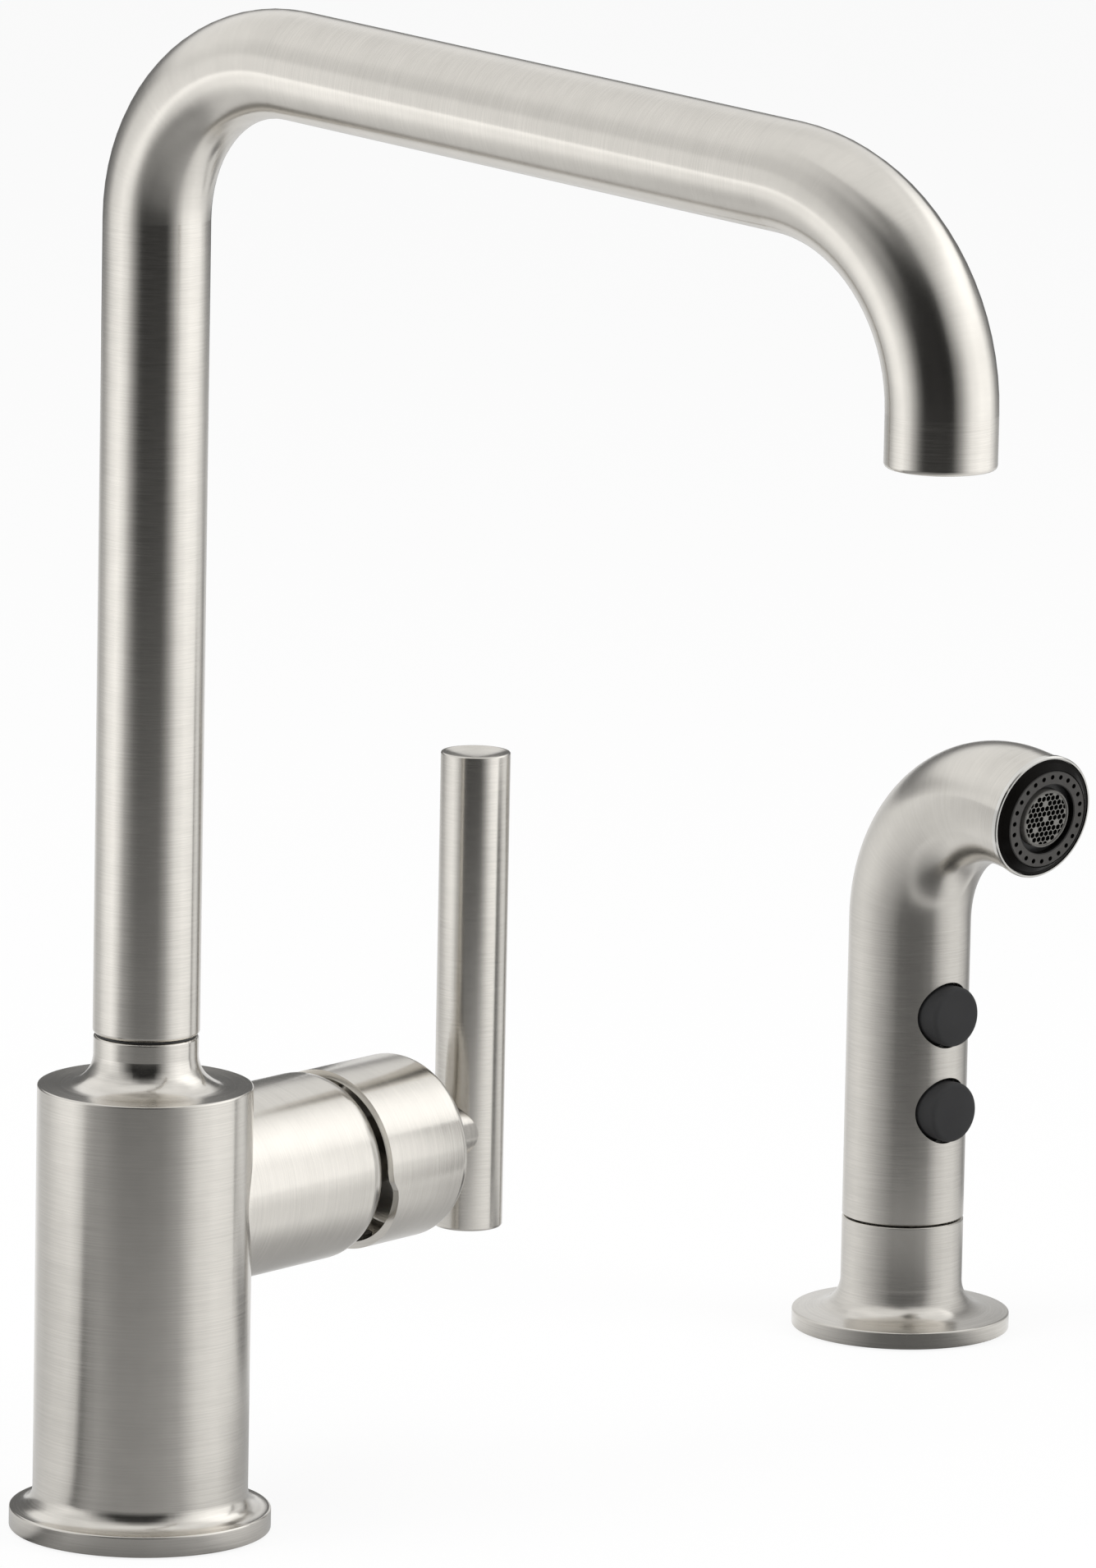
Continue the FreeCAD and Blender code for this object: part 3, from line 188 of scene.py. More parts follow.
def turnedLay(tree, centre=(0, 0, 0), along=(0, 0, 1)):
    # the way out from the axis, a place that changes from line to line, and the way reflections smear
    place = vectors(tree, "SUBTRACT", objectPlace(tree), centre)
    height = vectors(tree, "DOT_PRODUCT", place, along)
    aside = vectors(tree, "SUBTRACT", place, scaled(tree, along, height))
    outward = vectors(tree, "NORMALIZE", aside)
    step = sums(tree, "MULTIPLY_ADD", vectors(tree, "LENGTH", aside), turning["radiusShare"], height)
    smear = vectors(tree, "SUBTRACT", along, scaled(tree, outward, turning["lean"]))
    return outward, scaled(tree, along, step), smear


def pathLay(tree):
    step = add(tree, "Attribute", {"attribute_name": "pathStep"}).outputs["Fac"]
    outward = add(tree, "Attribute", {"attribute_name": "pathOutward"}).outputs["Vector"]
    way = add(tree, "Attribute", {"attribute_name": "pathWay"}).outputs["Vector"]
    return outward, scaled(tree, way, step), way


def bossLay(tree):
    return turnedLay(tree, bossAxis, (1, 0, 0))


bodyParts = {
    "columnRadius": 22.6,    # what lies outside this and above the next is the boss
    "bossFoot": 30,          # a height between the flange and the boss
}


def bodyLay(tree):
    # the column is turned about Z and its side boss about X
    column = turnedLay(tree)
    boss = bossLay(tree)
    apart = add(tree, "SeparateXYZ", Vector=objectPlace(tree))
    flat = add(tree, "CombineXYZ", X=apart.outputs["X"], Y=apart.outputs["Y"])
    outside = sums(tree, "GREATER_THAN", vectors(tree, "LENGTH", flat.outputs[0]),
                   bodyParts["columnRadius"] * mm)
    above = sums(tree, "GREATER_THAN", apart.outputs["Z"], bodyParts["bossFoot"] * mm)
    onBoss = sums(tree, "MULTIPLY", outside, above)
    return [mix(tree, "VECTOR", onBoss, first, second) for first, second in zip(column, boss)]


def brushedMetal(name, look, lay, polish=None):
    material, tree = newTree(name)
    outward, along, smear = lay(tree)
    streaks = vectors(tree, "ADD", scaled(tree, along, 1 / look["linePitch"]),
                      scaled(tree, outward, look["linesRound"]))
    fine = noise(tree, streaks, scale=1.0, detail=3.0, roughness=0.6)
    broad = noise(tree, scaled(tree, streaks, look["broadScale"]), scale=1.0)
    lines = sums(tree, "MULTIPLY_ADD", broad, look["broadShare"],
                 sums(tree, "MULTIPLY", fine, 1 - look["broadShare"]))
    level = between(tree, lines, *narrowSpread)
    dark = tuple(part * (1 - look["lineTone"]) for part in look["colour"])
    light = tuple(min(1, part * (1 + look["lineTone"])) for part in look["colour"])
    cloud = noise(tree, objectPlace(tree), 1 / look["cloudSize"])
    clouding = between(tree, cloud, *wideSpread, 1 - look["cloudTone"], 1 + look["cloudTone"])
    clouded = scaled(tree, mix(tree, "RGBA", level, dark, light), clouding)
    rough = between(tree, level, 0, 1, look["roughness"] - look["lineRoughness"],
                    look["roughness"] + look["lineRoughness"])
    if polish:
        rough = sums(tree, "MULTIPLY", rough, polish(tree))
    bump = add(tree, "Bump", Strength=1.0, Distance=look["lineDepth"], Height=fine)
    world = add(tree, "VectorTransform", {"vector_type": "VECTOR", "convert_from": "OBJECT",
                                          "convert_to": "WORLD"}, Vector=smear)
    shader = add(tree, "BsdfPrincipled", **{
        "Base Color": clouded,
        "Metallic": 1.0,
        "Roughness": rough,
        "Anisotropic": look["smear"],
        "Normal": bump.outputs[0],
        "Tangent": world.outputs[0],
    })
    finishTree(tree, shader.outputs[0])
    return material


neckPolish = {
    "middle": 100,
    "reach": 7,
    "whole": 0.8,            # share of the reach inside which the finer finish is at its full
    "share": 0.85,           # its roughness beside that of the straight walls
}


def neckFiner(tree):
    # the neck is finished a little finer than the straight walls
    height = add(tree, "SeparateXYZ", Vector=objectPlace(tree)).outputs["Z"]
    gap = sums(tree, "ABSOLUTE", sums(tree, "SUBTRACT", height, neckPolish["middle"] * mm))
    reach = neckPolish["reach"] * mm
    return between(tree, gap, reach * neckPolish["whole"], reach, neckPolish["share"], 1.0)


# mouldings, rubber, ceramic and the metals that aren't brushed

usualLook = {
    "grain": 0.4 * mm,
    "depth": 0.01 * mm,
    "tone": 0.12,
    "metal": 0.0,
    "shine": 0.5,
    "cloudsPerMetre": 90.0,
    "cloudShare": 0.5,
    "roughStray": 0.15,
    "paintedShadeFacing": (0.5, 0.9),   # cosines between which the painted shade on a hole's wall gives way to the face it opens on
}


def plainFinish(name, ownLook):
    look = {**usualLook, **ownLook}
    material, tree = newTree(name)
    place = objectPlace(tree)
    grain = noise(tree, place, 1 / look["grain"], detail=3.0, roughness=0.6)
    cloud = noise(tree, place, look["cloudsPerMetre"])
    dark = tuple(part * (1 - look["tone"]) for part in look["colour"])
    light = tuple(min(1, part * (1 + look["tone"])) for part in look["colour"])
    both = sums(tree, "MULTIPLY_ADD", grain, 1 - look["cloudShare"],
                sums(tree, "MULTIPLY", cloud, look["cloudShare"]))
    bump = add(tree, "Bump", Strength=1.0, Distance=look["depth"], Height=grain)
    rough, stray = look["roughness"], look["roughStray"]
    colour = mix(tree, "RGBA", between(tree, both, *narrowSpread), dark, light)
    if "openWay" in look:                # painted shade: walls inside small holes are darker than the face they open on
        normal = add(tree, "VectorTransform", {"vector_type": "NORMAL", "convert_from": "WORLD",
                                               "convert_to": "OBJECT"},
                     Vector=add(tree, "NewGeometry").outputs["Normal"]).outputs[0]
        facing = vectors(tree, "DOT_PRODUCT", normal, look["openWay"])
        colour = mix(tree, "RGBA", between(tree, facing, *look["paintedShadeFacing"]), look["paintedShadeColour"], colour)
    shader = add(tree, "BsdfPrincipled", **{
        "Base Color": colour,
        "Metallic": look["metal"],
        "Roughness": between(tree, grain, *wideSpread, rough * (1 - stray), min(1, rough * (1 + stray))),
        "Specular IOR Level": look["shine"],
        "Normal": bump.outputs[0],
    })
    if "coat" in look:
        shader.inputs["Coat Weight"].default_value = look["coat"]
        shader.inputs["Coat Roughness"].default_value = look["coatRoughness"]
    finishTree(tree, shader.outputs[0])
    return material


finishes = {
    "brass": {"colour": (0.80, 0.62, 0.34), "roughness": 0.3, "metal": 1.0, "tone": 0.06},
    "steel": {"colour": (0.60, 0.60, 0.59), "roughness": 0.32, "metal": 1.0, "tone": 0.06},
    "brightMetal": {"colour": (0.68, 0.67, 0.64), "roughness": 0.15, "metal": 1.0, "tone": 0.02,
                    "depth": 0.001 * mm},
    "platedNickel": {"colour": (0.62, 0.61, 0.58), "roughness": 0.22, "metal": 1.0, "tone": 0.04},
    "sealRubber": {"colour": (0.022, 0.022, 0.022), "roughness": 0.62, "depth": 0.02 * mm},
    "buttonRubber": {"colour": (0.034, 0.034, 0.035), "roughness": 0.6, "depth": 0.006 * mm,
                     "grain": 0.25 * mm, "tone": 0.08, "shine": 0.2},
    "nozzleRubber": {"colour": (0.07, 0.067, 0.064), "roughness": 0.6, "depth": 0.006 * mm,
                     "grain": 0.2 * mm, "shine": 0.2},
    "ceramic": {"colour": (0.84, 0.81, 0.74), "roughness": 0.16, "tone": 0.03, "coat": 0.4,
                "coatRoughness": 0.05},
    "cartridgePlastic": {"colour": (0.70, 0.70, 0.66), "roughness": 0.42, "tone": 0.04},
    "whitePlastic": {"colour": (0.78, 0.78, 0.75), "roughness": 0.4, "tone": 0.03},
    "darkPlastic": {"colour": (0.02, 0.02, 0.02), "roughness": 0.4},
    "glossBlack": {"colour": (0.005, 0.0045, 0.004), "roughness": 0.2, "depth": 0.001 * mm,
                   "shine": 0.04},
    "greyPlastic": {"colour": (0.14, 0.135, 0.125), "roughness": 0.38, "tone": 0.06,
                    "depth": 0.003 * mm, "shine": 0.4},
    "plugPlastic": {"colour": (0.30, 0.29, 0.27), "roughness": 0.4},
    # cellPlastic and nozzleFace paint shade on the walls inside their holes
    "cellPlastic": {"colour": (0.2, 0.195, 0.18), "roughness": 0.38, "tone": 0.06, "depth": 0.003 * mm,
                    "shine": 0.4, "openWay": faceWay, "paintedShadeColour": (0.006, 0.006, 0.0055)},
    "nozzleFace": {"colour": (0.075, 0.072, 0.068), "roughness": 0.6, "depth": 0.006 * mm,
                   "grain": 0.2 * mm, "shine": 0.2, "openWay": faceWay,
                   "paintedShadeColour": (0.004, 0.004, 0.004)},
}
madeFinishes = {name: plainFinish(name, look) for name, look in finishes.items()}

slotFinishes = {
    "bright_metal": "brightMetal",
    "brass": "brass",
    "steel": "steel",
    "nickel_plated": "platedNickel",
    "seal_rubber": "sealRubber",
    "button_rubber": "buttonRubber",
    "nozzle_rubber": "nozzleRubber",
    "ceramic": "ceramic",
    "cartridge_plastic": "cartridgePlastic",
    "white_plastic": "whitePlastic",
    "dark_plastic": "darkPlastic",
    "gloss_black": "glossBlack",
    "grey_plastic": "greyPlastic",
    "plug_plastic": "plugPlastic",
}


def dress(thing, material):
    thing.data.materials.clear()
    thing.data.materials.append(material)


for part in frame["record"]["subparts"]:
    if part["material_slot"] in slotFinishes:
        dress(nodes[part["node"]], madeFinishes[slotFinishes[part["material_slot"]]])

dress(nodes["honeycomb"], madeFinishes["cellPlastic"])
dress(nodes["nozzle_ring"], madeFinishes["nozzleFace"])

brushedNodes = {             # the lay of each one's lines, and what makes some of it finer
    "faucet_body": (bodyLay, neckFiner),
    "handle_cap": (bossLay, None),
    "spray_holder": (lambda tree: turnedLay(tree, sprayPlace), None),
}
for name, (lay, polish) in brushedNodes.items():
    dress(nodes[name], brushedMetal("brushedNickel_" + name, brushedNickel, lay, polish))
print("finishes made:", len(bpy.data.materials))


# the two bent tubes carry the direction of their own brushing

def bentPath(start, heading, pieces):
    # runs are lengths, bends are (radius, degrees) towards -Y; each leg keeps where it starts
    legs = []
    place, way, travelled = Vector(start), Vector(heading), 0.0
    for piece in pieces:
        if isinstance(piece, tuple):
            radius, angle = piece[0], math.radians(piece[1])
            side = Vector((0, -way.z, way.y))
            legs.append(("bend", place.copy(), way.copy(), travelled, radius, angle, side))
            place = place + side * radius * (1 - math.cos(angle)) + way * radius * math.sin(angle)
            way = way * math.cos(angle) + side * math.sin(angle)
            travelled += radius * angle
        else:
            legs.append(("run", place.copy(), way.copy(), travelled, piece, 0, None))
            place = place + way * piece
            travelled += piece
    return legs


def nearestOnPath(legs, point):
    best = None
    for kind, place, way, travelled, size, angle, side in legs:
        offset = point - place
        if kind == "run":
            along = min(max(offset.dot(way), 0), size)
            spot, direction, step = place + way * along, way, travelled + along
        else:
            spin = math.atan2(offset.dot(way), size - offset.dot(side))
            spin = min(max(spin, 0), angle)
            spot = place + side * size * (1 - math.cos(spin)) + way * size * math.sin(spin)
            direction = way * math.cos(spin) + side * math.sin(spin)
            step = travelled + size * spin
        gap = (point - spot).length
        if best is None or gap < best[0]:
            best = (gap, step, direction, (point - spot).normalized())
    return best[1:]


def brushAlong(name, body, legs, turn, centre):
    # a copy of the CAD tube that knows how far along its own bends each point lies
    piece = bpy.data.objects.new(name + "_brushed", nodes[name].data.copy())
    scene.collection.objects.link(piece)
    toPath = Matrix.Rotation(-turn, 4, "Z") @ Matrix.Translation(-Vector(centre))
    fromPath = Matrix.Rotation(turn, 3, "Z")
    steps = piece.data.attributes.new("pathStep", "FLOAT", "POINT")
    outwards = piece.data.attributes.new("pathOutward", "FLOAT_VECTOR", "POINT")
    ways = piece.data.attributes.new("pathWay", "FLOAT_VECTOR", "POINT")
    for index, vertex in enumerate(piece.data.vertices):
        step, way, outward = nearestOnPath(legs, toPath @ vertex.co)
        steps.data[index].value = step
        outwards.data[index].vector = fromPath @ outward
        ways.data[index].vector = fromPath @ way
    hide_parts(name)
    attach(piece, body)
    dress(piece, brushedMetal("brushedNickel_" + name, brushedNickel, pathLay))


spout = {
    "foot": 104.2,
    "rise": 168.2,
    "rearBend": 34.7,
    "slope": 3.9,            # degrees by which the arm falls
    "reach": 203.2,
    "frontBend": 41.7,
    "endRun": 100,           # longer than the straight end, so that its rim is on the path too
}
slope = math.radians(spout["slope"])
rear, front = spout["rearBend"], spout["frontBend"]
arm = (spout["reach"] - rear - front + (front - rear) * math.sin(slope)) / math.cos(slope)
spoutLegs = bentPath((0, 0, spout["foot"] * mm), (0, 0, 1), [
    spout["rise"] * mm, (rear * mm, 90 + spout["slope"]), arm * mm, (front * mm, 90 - spout["slope"]),
    spout["endRun"] * mm])
brushAlong("spout_tube", "spout", spoutLegs, 0, (0, 0, 0))

handset = {
    "foot": 25.6,
    "bendStart": 92.1,
    "bend": 30.5,
    "nose": 6.8,
}
handsetLegs = bentPath((0, 0, handset["foot"] * mm), (0, 0, 1), [
    (handset["bendStart"] - handset["foot"]) * mm, (handset["bend"] * mm, headTurn),
    handset["nose"] * mm])
brushAlong("handset_shell", "handset", handsetLegs, swing, sprayPlace)
print("bent tubes brushed")


# pieces made anew: lever, post, buttons and springs

making = {
    "segments": 96,
    "merge": 0.0005 * mm,
    "nearly": 0.001 * mm,    # how close to a corner or an end a point counts as being on it
    "roundSteps": 5,
    "sharpAngle": math.radians(35),
}
acrossShares = (1, 0.8, 0.6, 0.4, 0.2, 0)    # rings of a dished or crowned face, from the rim inwards


def turned(name, body, profile, rounds, foot, along, replaced, segments=making["segments"]):
    # profile and rounds are in millimetres from the piece's own foot: (radius, height) and its rounding
    form = bmesh.new()
    line = [form.verts.new((radius * mm, 0, height * mm)) for radius, height in profile]
    edges = [form.edges.new(pair) for pair in zip(line, line[1:])]
    bmesh.ops.spin(form, geom=line + edges, axis=(0, 0, 1), cent=(0, 0, 0), angle=2 * math.pi,
                   steps=segments, use_merge=True)
    bmesh.ops.remove_doubles(form, verts=form.verts, dist=making["merge"])
    bmesh.ops.recalc_face_normals(form, faces=form.faces)
    nearly = making["nearly"]
    for (radius, height), size in rounds.items():
        corner = [edge for edge in form.edges if all(
            abs(end.co.z - height * mm) < nearly and abs(end.co.xy.length - radius * mm) < nearly
            for end in edge.verts)]
        bmesh.ops.bevel(form, geom=corner, offset=size * mm, segments=making["roundSteps"], profile=0.5,
                        affect="EDGES", material=-1)
    turn = Vector(along).to_track_quat("Z", "Y").to_matrix().to_4x4()
    bmesh.ops.transform(form, matrix=Matrix.Translation(Vector(foot) * mm) @ turn, verts=form.verts)
    return placed(name, form, body, replaced)


def placed(name, form, body, replaced):
    for face in form.faces:
        face.smooth = True
    mesh = bpy.data.meshes.new(name)
    form.to_mesh(mesh)
    form.free()
    mesh.set_sharp_from_angle(angle=making["sharpAngle"])
    piece = bpy.data.objects.new(name, mesh)
    scene.collection.objects.link(piece)
    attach(piece, body)
    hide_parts(replaced)
    return piece


lever = {
    "radius": 7.35,
    "low": 47.3,
    "length": 101.8,
    "rim": 0.55,             # width of the flat left round the dish
    "dish": 1.25,
    "footEdge": 0.6,
    "topEdge": 0.35,
    "dishEdge": 0.2,
}


def makeLever():
    radius, inner, top = lever["radius"], lever["radius"] - lever["rim"], lever["length"]
    dish = [(inner * share, top - lever["dish"] * (1 - share ** 2)) for share in acrossShares]
    profile = [(0, 0), (radius, 0), (radius, top)] + dish
    rounds = {(radius, 0): lever["footEdge"], (radius, top): lever["topEdge"],
              (inner, top): lever["dishEdge"]}
    rod = turned("handle_lever_rod", "handle", profile, rounds,
                 (leverOffset, 0, lever["low"]), (0, 0, 1), "handle_lever")
    dress(rod, brushedMetal("brushedNickel_lever", softerNickel, lambda tree: turnedLay(tree, leverPlace)))


post = {
    "radius": 6.2,
    "footRadius": 3.95,
    "foot": 75.0,
    "front": 80.5,
    "rings": (1, 0.9, 0.8, 0.7, 0.6, 0.52),
    "spigot": 3.2,
    "spigotLength": 2.0,
    "mark": 1.0,             # where the end's rings are made, and found again to be moved on to the rod
    "seatGap": 0.12,         # wide enough to be seen as the fine dark line round the joint
}


def makePost():
    # the end is coped to sit on the rod, with its spigot going on into it
    radius, near = post["radius"], leverOffset - lever["radius"]
    end = near + post["mark"]
    profile = [(0, post["foot"]), (post["footRadius"], post["foot"]), (post["footRadius"], post["front"]),
               (radius, post["front"])]
    profile += [(radius * share, end) for share in post["rings"]]
    profile += [(post["spigot"], near + post["spigotLength"]), (0, near + post["spigotLength"])]
    piece = turned("handle_post_coped", "handle", profile, {}, (0, 0, bossHeight),
                   (1, 0, 0), "handle_post")
    seat = lever["radius"] + post["seatGap"]
    for vertex in piece.data.vertices:
        if abs(vertex.co.x - end * mm) < making["nearly"]:
            vertex.co.x = (leverOffset - math.sqrt(seat ** 2 - (vertex.co.y / mm) ** 2)) * mm
    piece.data.set_sharp_from_angle(angle=making["sharpAngle"])
    dress(piece, brushedMetal("brushedNickel_post", softerNickel, bossLay))


button = {
    "radius": 6.65,
    "flange": 7.8,
    "back": 8.0,
    "sheet": 0.9,
    "reach": 16.2,
    "crown": 0.25,
    "faceRound": 0.95,
    "segments": 64,
    "heights": {"upper_button": 72.5, "lower_button": 51.1},
}


def makeButtons():
    radius, reach, crown = button["radius"], button["reach"], button["crown"]
    flange, back = button["flange"], button["back"]
    front = back + button["sheet"]
    profile = [(0, back), (flange, back), (flange, front), (radius, front)]
    profile += [(radius * share, reach - crown * share ** 2) for share in acrossShares]
    rounds = {(radius, reach - crown): button["faceRound"]}
    for name, height in button["heights"].items():
        cap = turned(name + "_cap", name, profile, rounds, (sprayOffset, 0, height),
                     outward, name, button["segments"])
        dress(cap, madeFinishes["buttonRubber"])


spring = {
    "coil": 3.6,
    "wire": 0.3,
    "pitch": 1.3,
    "back": 4.5,
    "length": 3.2,
    "wireSides": 10,
    "stepsRound": 32,
    "pressed": 0.25,         # share of its length left when its button is right in
}


def makeSprings():
    for name, height in button["heights"].items():
        form = bmesh.new()
        ring = bmesh.ops.create_circle(form, segments=spring["wireSides"],
                                       radius=spring["wire"] * mm)["verts"]
        bmesh.ops.rotate(form, verts=ring, cent=(0, 0, 0), matrix=Matrix.Rotation(math.pi / 2, 3, "X"))
        bmesh.ops.translate(form, verts=ring, vec=(spring["coil"] * mm, 0, spring["back"] * mm))
        turns = spring["length"] / spring["pitch"]
        steps = round(turns * spring["stepsRound"])
        bmesh.ops.spin(form, geom=list(form.verts) + list(form.edges), axis=(0, 0, 1), cent=(0, 0, 0),
                       dvec=(0, 0, spring["length"] * mm / steps), angle=turns * 2 * math.pi, steps=steps)
        bmesh.ops.holes_fill(form, edges=[edge for edge in form.edges if edge.is_boundary],
                             sides=spring["wireSides"])
        bmesh.ops.recalc_face_normals(form, faces=form.faces)
        turn = Vector(outward).to_track_quat("Z", "Y").to_matrix().to_4x4()
        foot = Vector((sprayOffset * mm, 0, height * mm))
        bmesh.ops.transform(form, matrix=Matrix.Translation(foot) @ turn, verts=form.verts)
        coil = placed(name + "_coil", form, "handset", name + "_spring")
        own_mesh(coil)
        dress(coil, madeFinishes["steel"])


makeLever()
makePost()
makeButtons()
makeSprings()
print("lever, post, buttons and springs made")


# the camera, as fitted to the photograph's outlines

cameraView = {
    "azimuth": 49.704,       # degrees from the front, towards the column's left
    "pitch": 10.975,
    "roll": 1.087,
    "distance": 2.47238,
    "aside": 0.07569,
    "height": 0.63687,
    "focalPixels": 15064.5,
    "axisColumn": 634.87,    # the photograph's pixel column that the lens axis meets
    "photoWidth": 1335,
    "photoHeight": 1910,
    "sensor": 36,
    "clip": (0.05, 50),
}
azimuth, pitch, roll = (math.radians(cameraView[key]) for key in ("azimuth", "pitch", "roll"))
towards = Vector((-math.sin(azimuth), -math.cos(azimuth), 0))
rightward = Vector((math.cos(azimuth), -math.sin(azimuth), 0))
skyward = Vector((0, 0, 1))


def makeCamera():
    lookWay = -towards * math.cos(pitch) - skyward * math.sin(pitch)
    lift = skyward * math.cos(pitch) - towards * math.sin(pitch)
    across = rightward * math.cos(roll) + lift * math.sin(roll)
    upright = lift * math.cos(roll) - rightward * math.sin(roll)
    place = (rightward * cameraView["aside"] + towards * cameraView["distance"]
             + skyward * cameraView["height"])
    lens = bpy.data.cameras.new("photoCamera")
    lens.sensor_width = cameraView["sensor"]
    lens.lens = cameraView["focalPixels"] * cameraView["sensor"] / cameraView["photoHeight"]
    lens.shift_x = (cameraView["photoWidth"] / 2 - cameraView["axisColumn"]) / cameraView["photoHeight"]
    lens.clip_start, lens.clip_end = cameraView["clip"]
    camera = bpy.data.objects.new("photoCamera", lens)
    scene.collection.objects.link(camera)
    camera.matrix_world = Matrix((
        (across.x, upright.x, -lookWay.x, place.x),
        (across.y, upright.y, -lookWay.y, place.y),
        (across.z, upright.z, -lookWay.z, place.z),
        (0, 0, 0, 1)))
    scene.camera = camera


makeCamera()


# the studio: floor, tent, the ring round the hand spray and lamps

studio = {
    "worldLight": 0.55,
    "floorSize": 8.0,
    "floorGap": 0.05 * mm,
    "floorTone": 0.9,
    "floorDim": 0.98,        # its darkest patches beside its tone
    "floorClouds": 3.0,
    "floorShadow": 0.15,
    "floorWhite": 1.02,
    "floorMid": (0.2, 0.6),  # distances between which one row of the floor's glow gives way to the next
    "floorFar": (0.7, 1.3),
    "paintedShadows": {                          # painted shadow: the glow that reflections see on the floor is a little dimmer round the foot and under the boss
        (0, 0, 0): (0.026, 0.045, 0.65),
        (0.075, 0, 0): (0.03, 0.1, 0.55),
    },
    "screenRadius": 0.13,
    "screenHigh": 0.14,
    "screenFade": 0.6,       # share of its radius at which its glow on the floor starts to give way
    "tentRadius": 1.6,
    "tentTop": 3.2,
    "wallLow": (0.6, 0.9),   # heights between which one row of the wall's glow gives way to the next
    "wallMid": (1.3, 2.0),
}

# how bright the studio is in reflections, by degrees round from the camera's side to its right
glows = {
    "nearFloor": [(-180, 0.85), (-160, 0.95), (-140, 0.72), (-120, 0.72), (-100, 0.8), (-80, 0.85),
                  (-68, 0.7), (-61, 0.12), (-54, 0.3), (-42, 0.42), (-20, 0.36), (0, 0.36), (20, 0.4),
                  (38, 0.46), (58, 0.85), (80, 1.0), (100, 0.97), (130, 0.86), (155, 0.85), (180, 0.85)],
    "midFloor": [(-180, 0.8), (-160, 0.85), (-140, 0.62), (-120, 0.75), (-100, 1.2), (-80, 1.4),
                 (-64, 0.85), (-52, 0.4), (-40, 0.3), (-20, 0.2), (0, 0.2), (20, 0.22), (40, 0.45),
                 (60, 1.0), (80, 1.2), (100, 1.15), (130, 0.75), (155, 0.75), (180, 0.8)],
    "farFloor": [(-180, 0.75), (-160, 0.75), (-140, 0.52), (-120, 0.72), (-100, 1.3), (-80, 1.6),
                 (-64, 1.3), (-50, 0.6), (-41, 0.25), (-33, 0.02), (-20, 0.005), (0, 0.005), (20, 0.005),
                 (30, 0.05), (41, 0.42), (58, 1.15), (80, 1.4), (100, 1.3), (120, 1.0), (140, 0.58),
                 (160, 0.65), (180, 0.75)],
    "wallLow": [(-180, 0.15), (-150, 0.18), (-130, 0.35), (-110, 0.9), (-80, 1.1), (-62, 0.9), (-40, 0.2),
                (-28, 0.02), (0, 0.03), (24, 0.02), (40, 0.4), (60, 1.15), (80, 1.45),
                (105, 1.4), (130, 0.45), (150, 0.18), (180, 0.15)],
    "wallMid": [(-180, 1.0), (-150, 1.05), (-110, 1.05), (-80, 0.85), (-60, 0.8), (-40, 0.4), (-24, 0.05),
                (-12, 0.02), (12, 0.02), (22, 0.05), (40, 0.6), (60, 1.1), (80, 1.5), (100, 1.7),
                (128, 1.6), (150, 0.95), (180, 0.95)],
    "wallHigh": [(-180, 0.9), (-90, 1.0), (-40, 0.7), (-10, 0.25), (10, 0.25), (40, 0.7), (90, 1.1),
                 (180, 0.9)],
    "sprayScreen": [(-180, 0.8), (-160, 0.85), (-140, 0.75), (-120, 0.87), (-100, 0.93), (-80, 0.8),
                    (-60, 0.58), (-40, 0.38), (-20, 0.17), (0, 0.14), (20, 0.15), (38, 0.22), (60, 0.7),
                    (80, 0.9), (100, 0.9), (120, 0.65), (140, 0.3), (160, 0.5), (180, 0.7)],
}


def glowRound(tree, place, row):
    # the ramp runs once round, with the camera's side at its middle
    ahead = vectors(tree, "DOT_PRODUCT", place, towards)
    aside = vectors(tree, "DOT_PRODUCT", place, rightward)
    turn = sums(tree, "ARCTAN2", aside, ahead)
    ramp = add(tree, "ValToRGB", Fac=sums(tree, "MULTIPLY_ADD", turn, 0.5 / math.pi, 0.5))
    stops = ramp.color_ramp.elements
    brightest = max(glow for _, glow in glows[row])
    stops.remove(stops[0])               # a ramp starts with two stops and keeps at least one
    for number, (degrees, glow) in enumerate(glows[row]):
        spot = degrees / 360 + 0.5
        stop = stops.new(spot) if number else stops[0]
        stop.position = spot
        stop.color = (glow / brightest,) * 3 + (1,)
    return sums(tree, "MULTIPLY", ramp.outputs["Color"], brightest)


def makeWorld():
    world = bpy.data.worlds.new("studio")
    world.use_nodes = True
    tree = world.node_tree
    tree.nodes.clear()
    rays = add(tree, "LightPath")
    seen = sums(tree, "MAXIMUM", rays.outputs["Is Camera Ray"],
                sums(tree, "MAXIMUM", rays.outputs["Is Glossy Ray"], rays.outputs["Is Transmission Ray"]))
    strength = between(tree, seen, 0, 1, studio["worldLight"], 1.0)
    background = add(tree, "Background", Color=(1, 1, 1), Strength=strength)
    output = tree.nodes.new("ShaderNodeOutputWorld")
    tree.links.new(background.outputs[0], output.inputs["Surface"])
    scene.world = world


def stagePiece(name, form, material):
    mesh = bpy.data.meshes.new(name)
    form.to_mesh(mesh)
    form.free()
    piece = bpy.data.objects.new(name, mesh)
    scene.collection.objects.link(piece)
    dress(piece, material)
    return piece


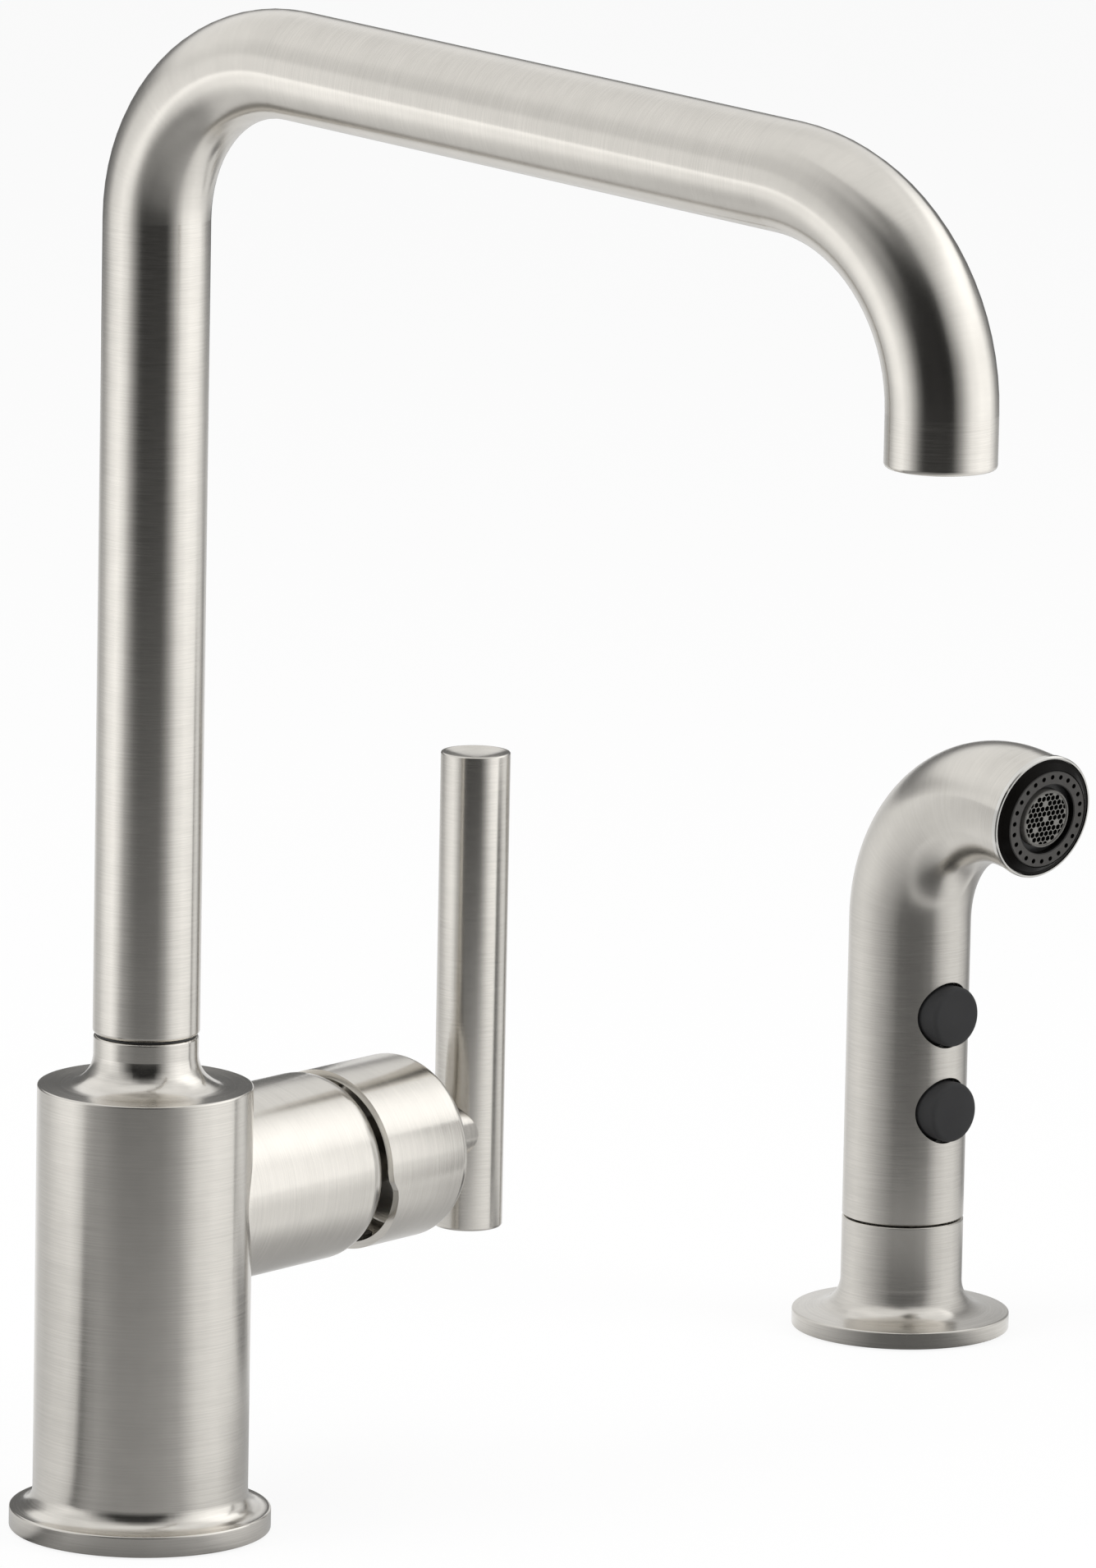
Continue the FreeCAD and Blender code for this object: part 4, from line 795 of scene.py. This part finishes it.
def makeFloor():
    form = bmesh.new()
    bmesh.ops.create_grid(form, x_segments=4, y_segments=4, size=studio["floorSize"])
    bmesh.ops.translate(form, verts=form.verts, vec=(0, 0, -studio["floorGap"]))
    material, tree = newTree("paleFloor")
    rays = add(tree, "LightPath")
    place = objectPlace(tree)
    cloud = noise(tree, place, studio["floorClouds"])
    tone = studio["floorTone"]
    dim = tone * studio["floorDim"]
    diffuse = add(tree, "BsdfDiffuse", Color=mix(tree, "RGBA", cloud, (dim,) * 3, (tone,) * 3))
    white = add(tree, "Emission", Color=(1, 1, 1), Strength=studio["floorWhite"])
    shown = sums(tree, "MULTIPLY", rays.outputs["Is Camera Ray"], 1 - studio["floorShadow"])
    seen = add(tree, "MixShader", Fac=shown)
    tree.links.new(diffuse.outputs[0], seen.inputs[1])
    tree.links.new(white.outputs[0], seen.inputs[2])
    away = vectors(tree, "LENGTH", place)
    glow = mix(tree, "FLOAT", between(tree, away, *studio["floorMid"]),
               glowRound(tree, place, "nearFloor"), glowRound(tree, place, "midFloor"))
    glow = mix(tree, "FLOAT", between(tree, away, *studio["floorFar"]), glow,
               glowRound(tree, place, "farFloor"))
    # painted shadow round the foot and under the boss, in the floor's glow for reflections
    for centre, (inner, outer, shade) in studio["paintedShadows"].items():
        gap = vectors(tree, "LENGTH", vectors(tree, "SUBTRACT", place, centre))
        glow = sums(tree, "MULTIPLY", glow, between(tree, gap, inner, outer, shade, 1.0))
    fromSpray = vectors(tree, "SUBTRACT", place, sprayPlace)
    ringEdge = studio["screenRadius"]
    inRing = between(tree, vectors(tree, "LENGTH", fromSpray), ringEdge * studio["screenFade"], ringEdge,
                     1.0, 0.0)
    glow = mix(tree, "FLOAT", inRing, glow, glowRound(tree, fromSpray, "sprayScreen"))
    reflected = add(tree, "Emission", Color=(1, 1, 1), Strength=glow)
    both = add(tree, "MixShader", Fac=rays.outputs["Is Glossy Ray"])
    tree.links.new(seen.outputs[0], both.inputs[1])
    tree.links.new(reflected.outputs[0], both.inputs[2])
    finishTree(tree, both.outputs[0])
    stagePiece("floor", form, material)


def wallRound(name, radius, high, centre, shader):
    # a round wall that only reflections see
    form = bmesh.new()
    bmesh.ops.create_cone(form, cap_ends=False, segments=96, radius1=radius, radius2=radius, depth=high)
    bmesh.ops.translate(form, verts=form.verts, vec=Vector(centre) + Vector((0, 0, high / 2)))
    material, tree = newTree(name + "Cloth")
    finishTree(tree, shader(tree))
    wall = stagePiece(name, form, material)
    wall.visible_camera = False
    wall.visible_diffuse = False
    wall.visible_shadow = False


def makeTent():
    def shader(tree):
        place = objectPlace(tree)
        height = add(tree, "SeparateXYZ", Vector=place).outputs["Z"]
        glow = mix(tree, "FLOAT", between(tree, height, *studio["wallLow"]),
                   glowRound(tree, place, "wallLow"), glowRound(tree, place, "wallMid"))
        glow = mix(tree, "FLOAT", between(tree, height, *studio["wallMid"]), glow,
                   glowRound(tree, place, "wallHigh"))
        return add(tree, "Emission", Color=(1, 1, 1), Strength=glow).outputs[0]
    wallRound("lightTent", studio["tentRadius"], studio["tentTop"], (0, 0, 0), shader)


def makeSprayScreen():
    # the hand spray sees its own ring of glow, and everything outside the ring looks through it
    def shader(tree):
        place = vectors(tree, "SUBTRACT", objectPlace(tree), sprayPlace)
        glow = glowRound(tree, place, "sprayScreen")
        inside = add(tree, "NewGeometry").outputs["Backfacing"]
        both = add(tree, "MixShader", Fac=inside)
        tree.links.new(add(tree, "BsdfTransparent").outputs[0], both.inputs[1])
        tree.links.new(add(tree, "Emission", Color=(1, 1, 1), Strength=glow).outputs[0], both.inputs[2])
        return both.outputs[0]
    wallRound("sprayScreen", studio["screenRadius"], studio["screenHigh"], sprayPlace, shader)


lamps = {
    "leftLamp": {"side": -70, "distance": 1.6, "height": 1.1, "size": 1.0, "power": 9},
    "rightLamp": {"side": 75, "distance": 1.6, "height": 1.0, "size": 1.0, "power": 8},
    "topLamp": {"side": 0, "distance": 0.3, "height": 1.9, "size": 1.4, "power": 12},
}
lampAim = (0.1, -0.05, 0.15)


def makeLamps():
    aim = Vector(lampAim)
    for name, lamp in lamps.items():
        light = bpy.data.lights.new(name, "AREA")
        light.size = lamp["size"]
        light.energy = lamp["power"]
        holder = bpy.data.objects.new(name, light)
        scene.collection.objects.link(holder)
        side = math.radians(lamp["side"])
        way = towards * math.cos(side) + rightward * math.sin(side)
        place = aim + way * lamp["distance"] + skyward * lamp["height"]
        holder.matrix_world = (Matrix.Translation(place)
                               @ (aim - place).to_track_quat("-Z", "Y").to_matrix().to_4x4())
        holder.visible_glossy = False


makeWorld()
makeFloor()
makeTent()
makeSprayScreen()
makeLamps()
print("camera and studio set")
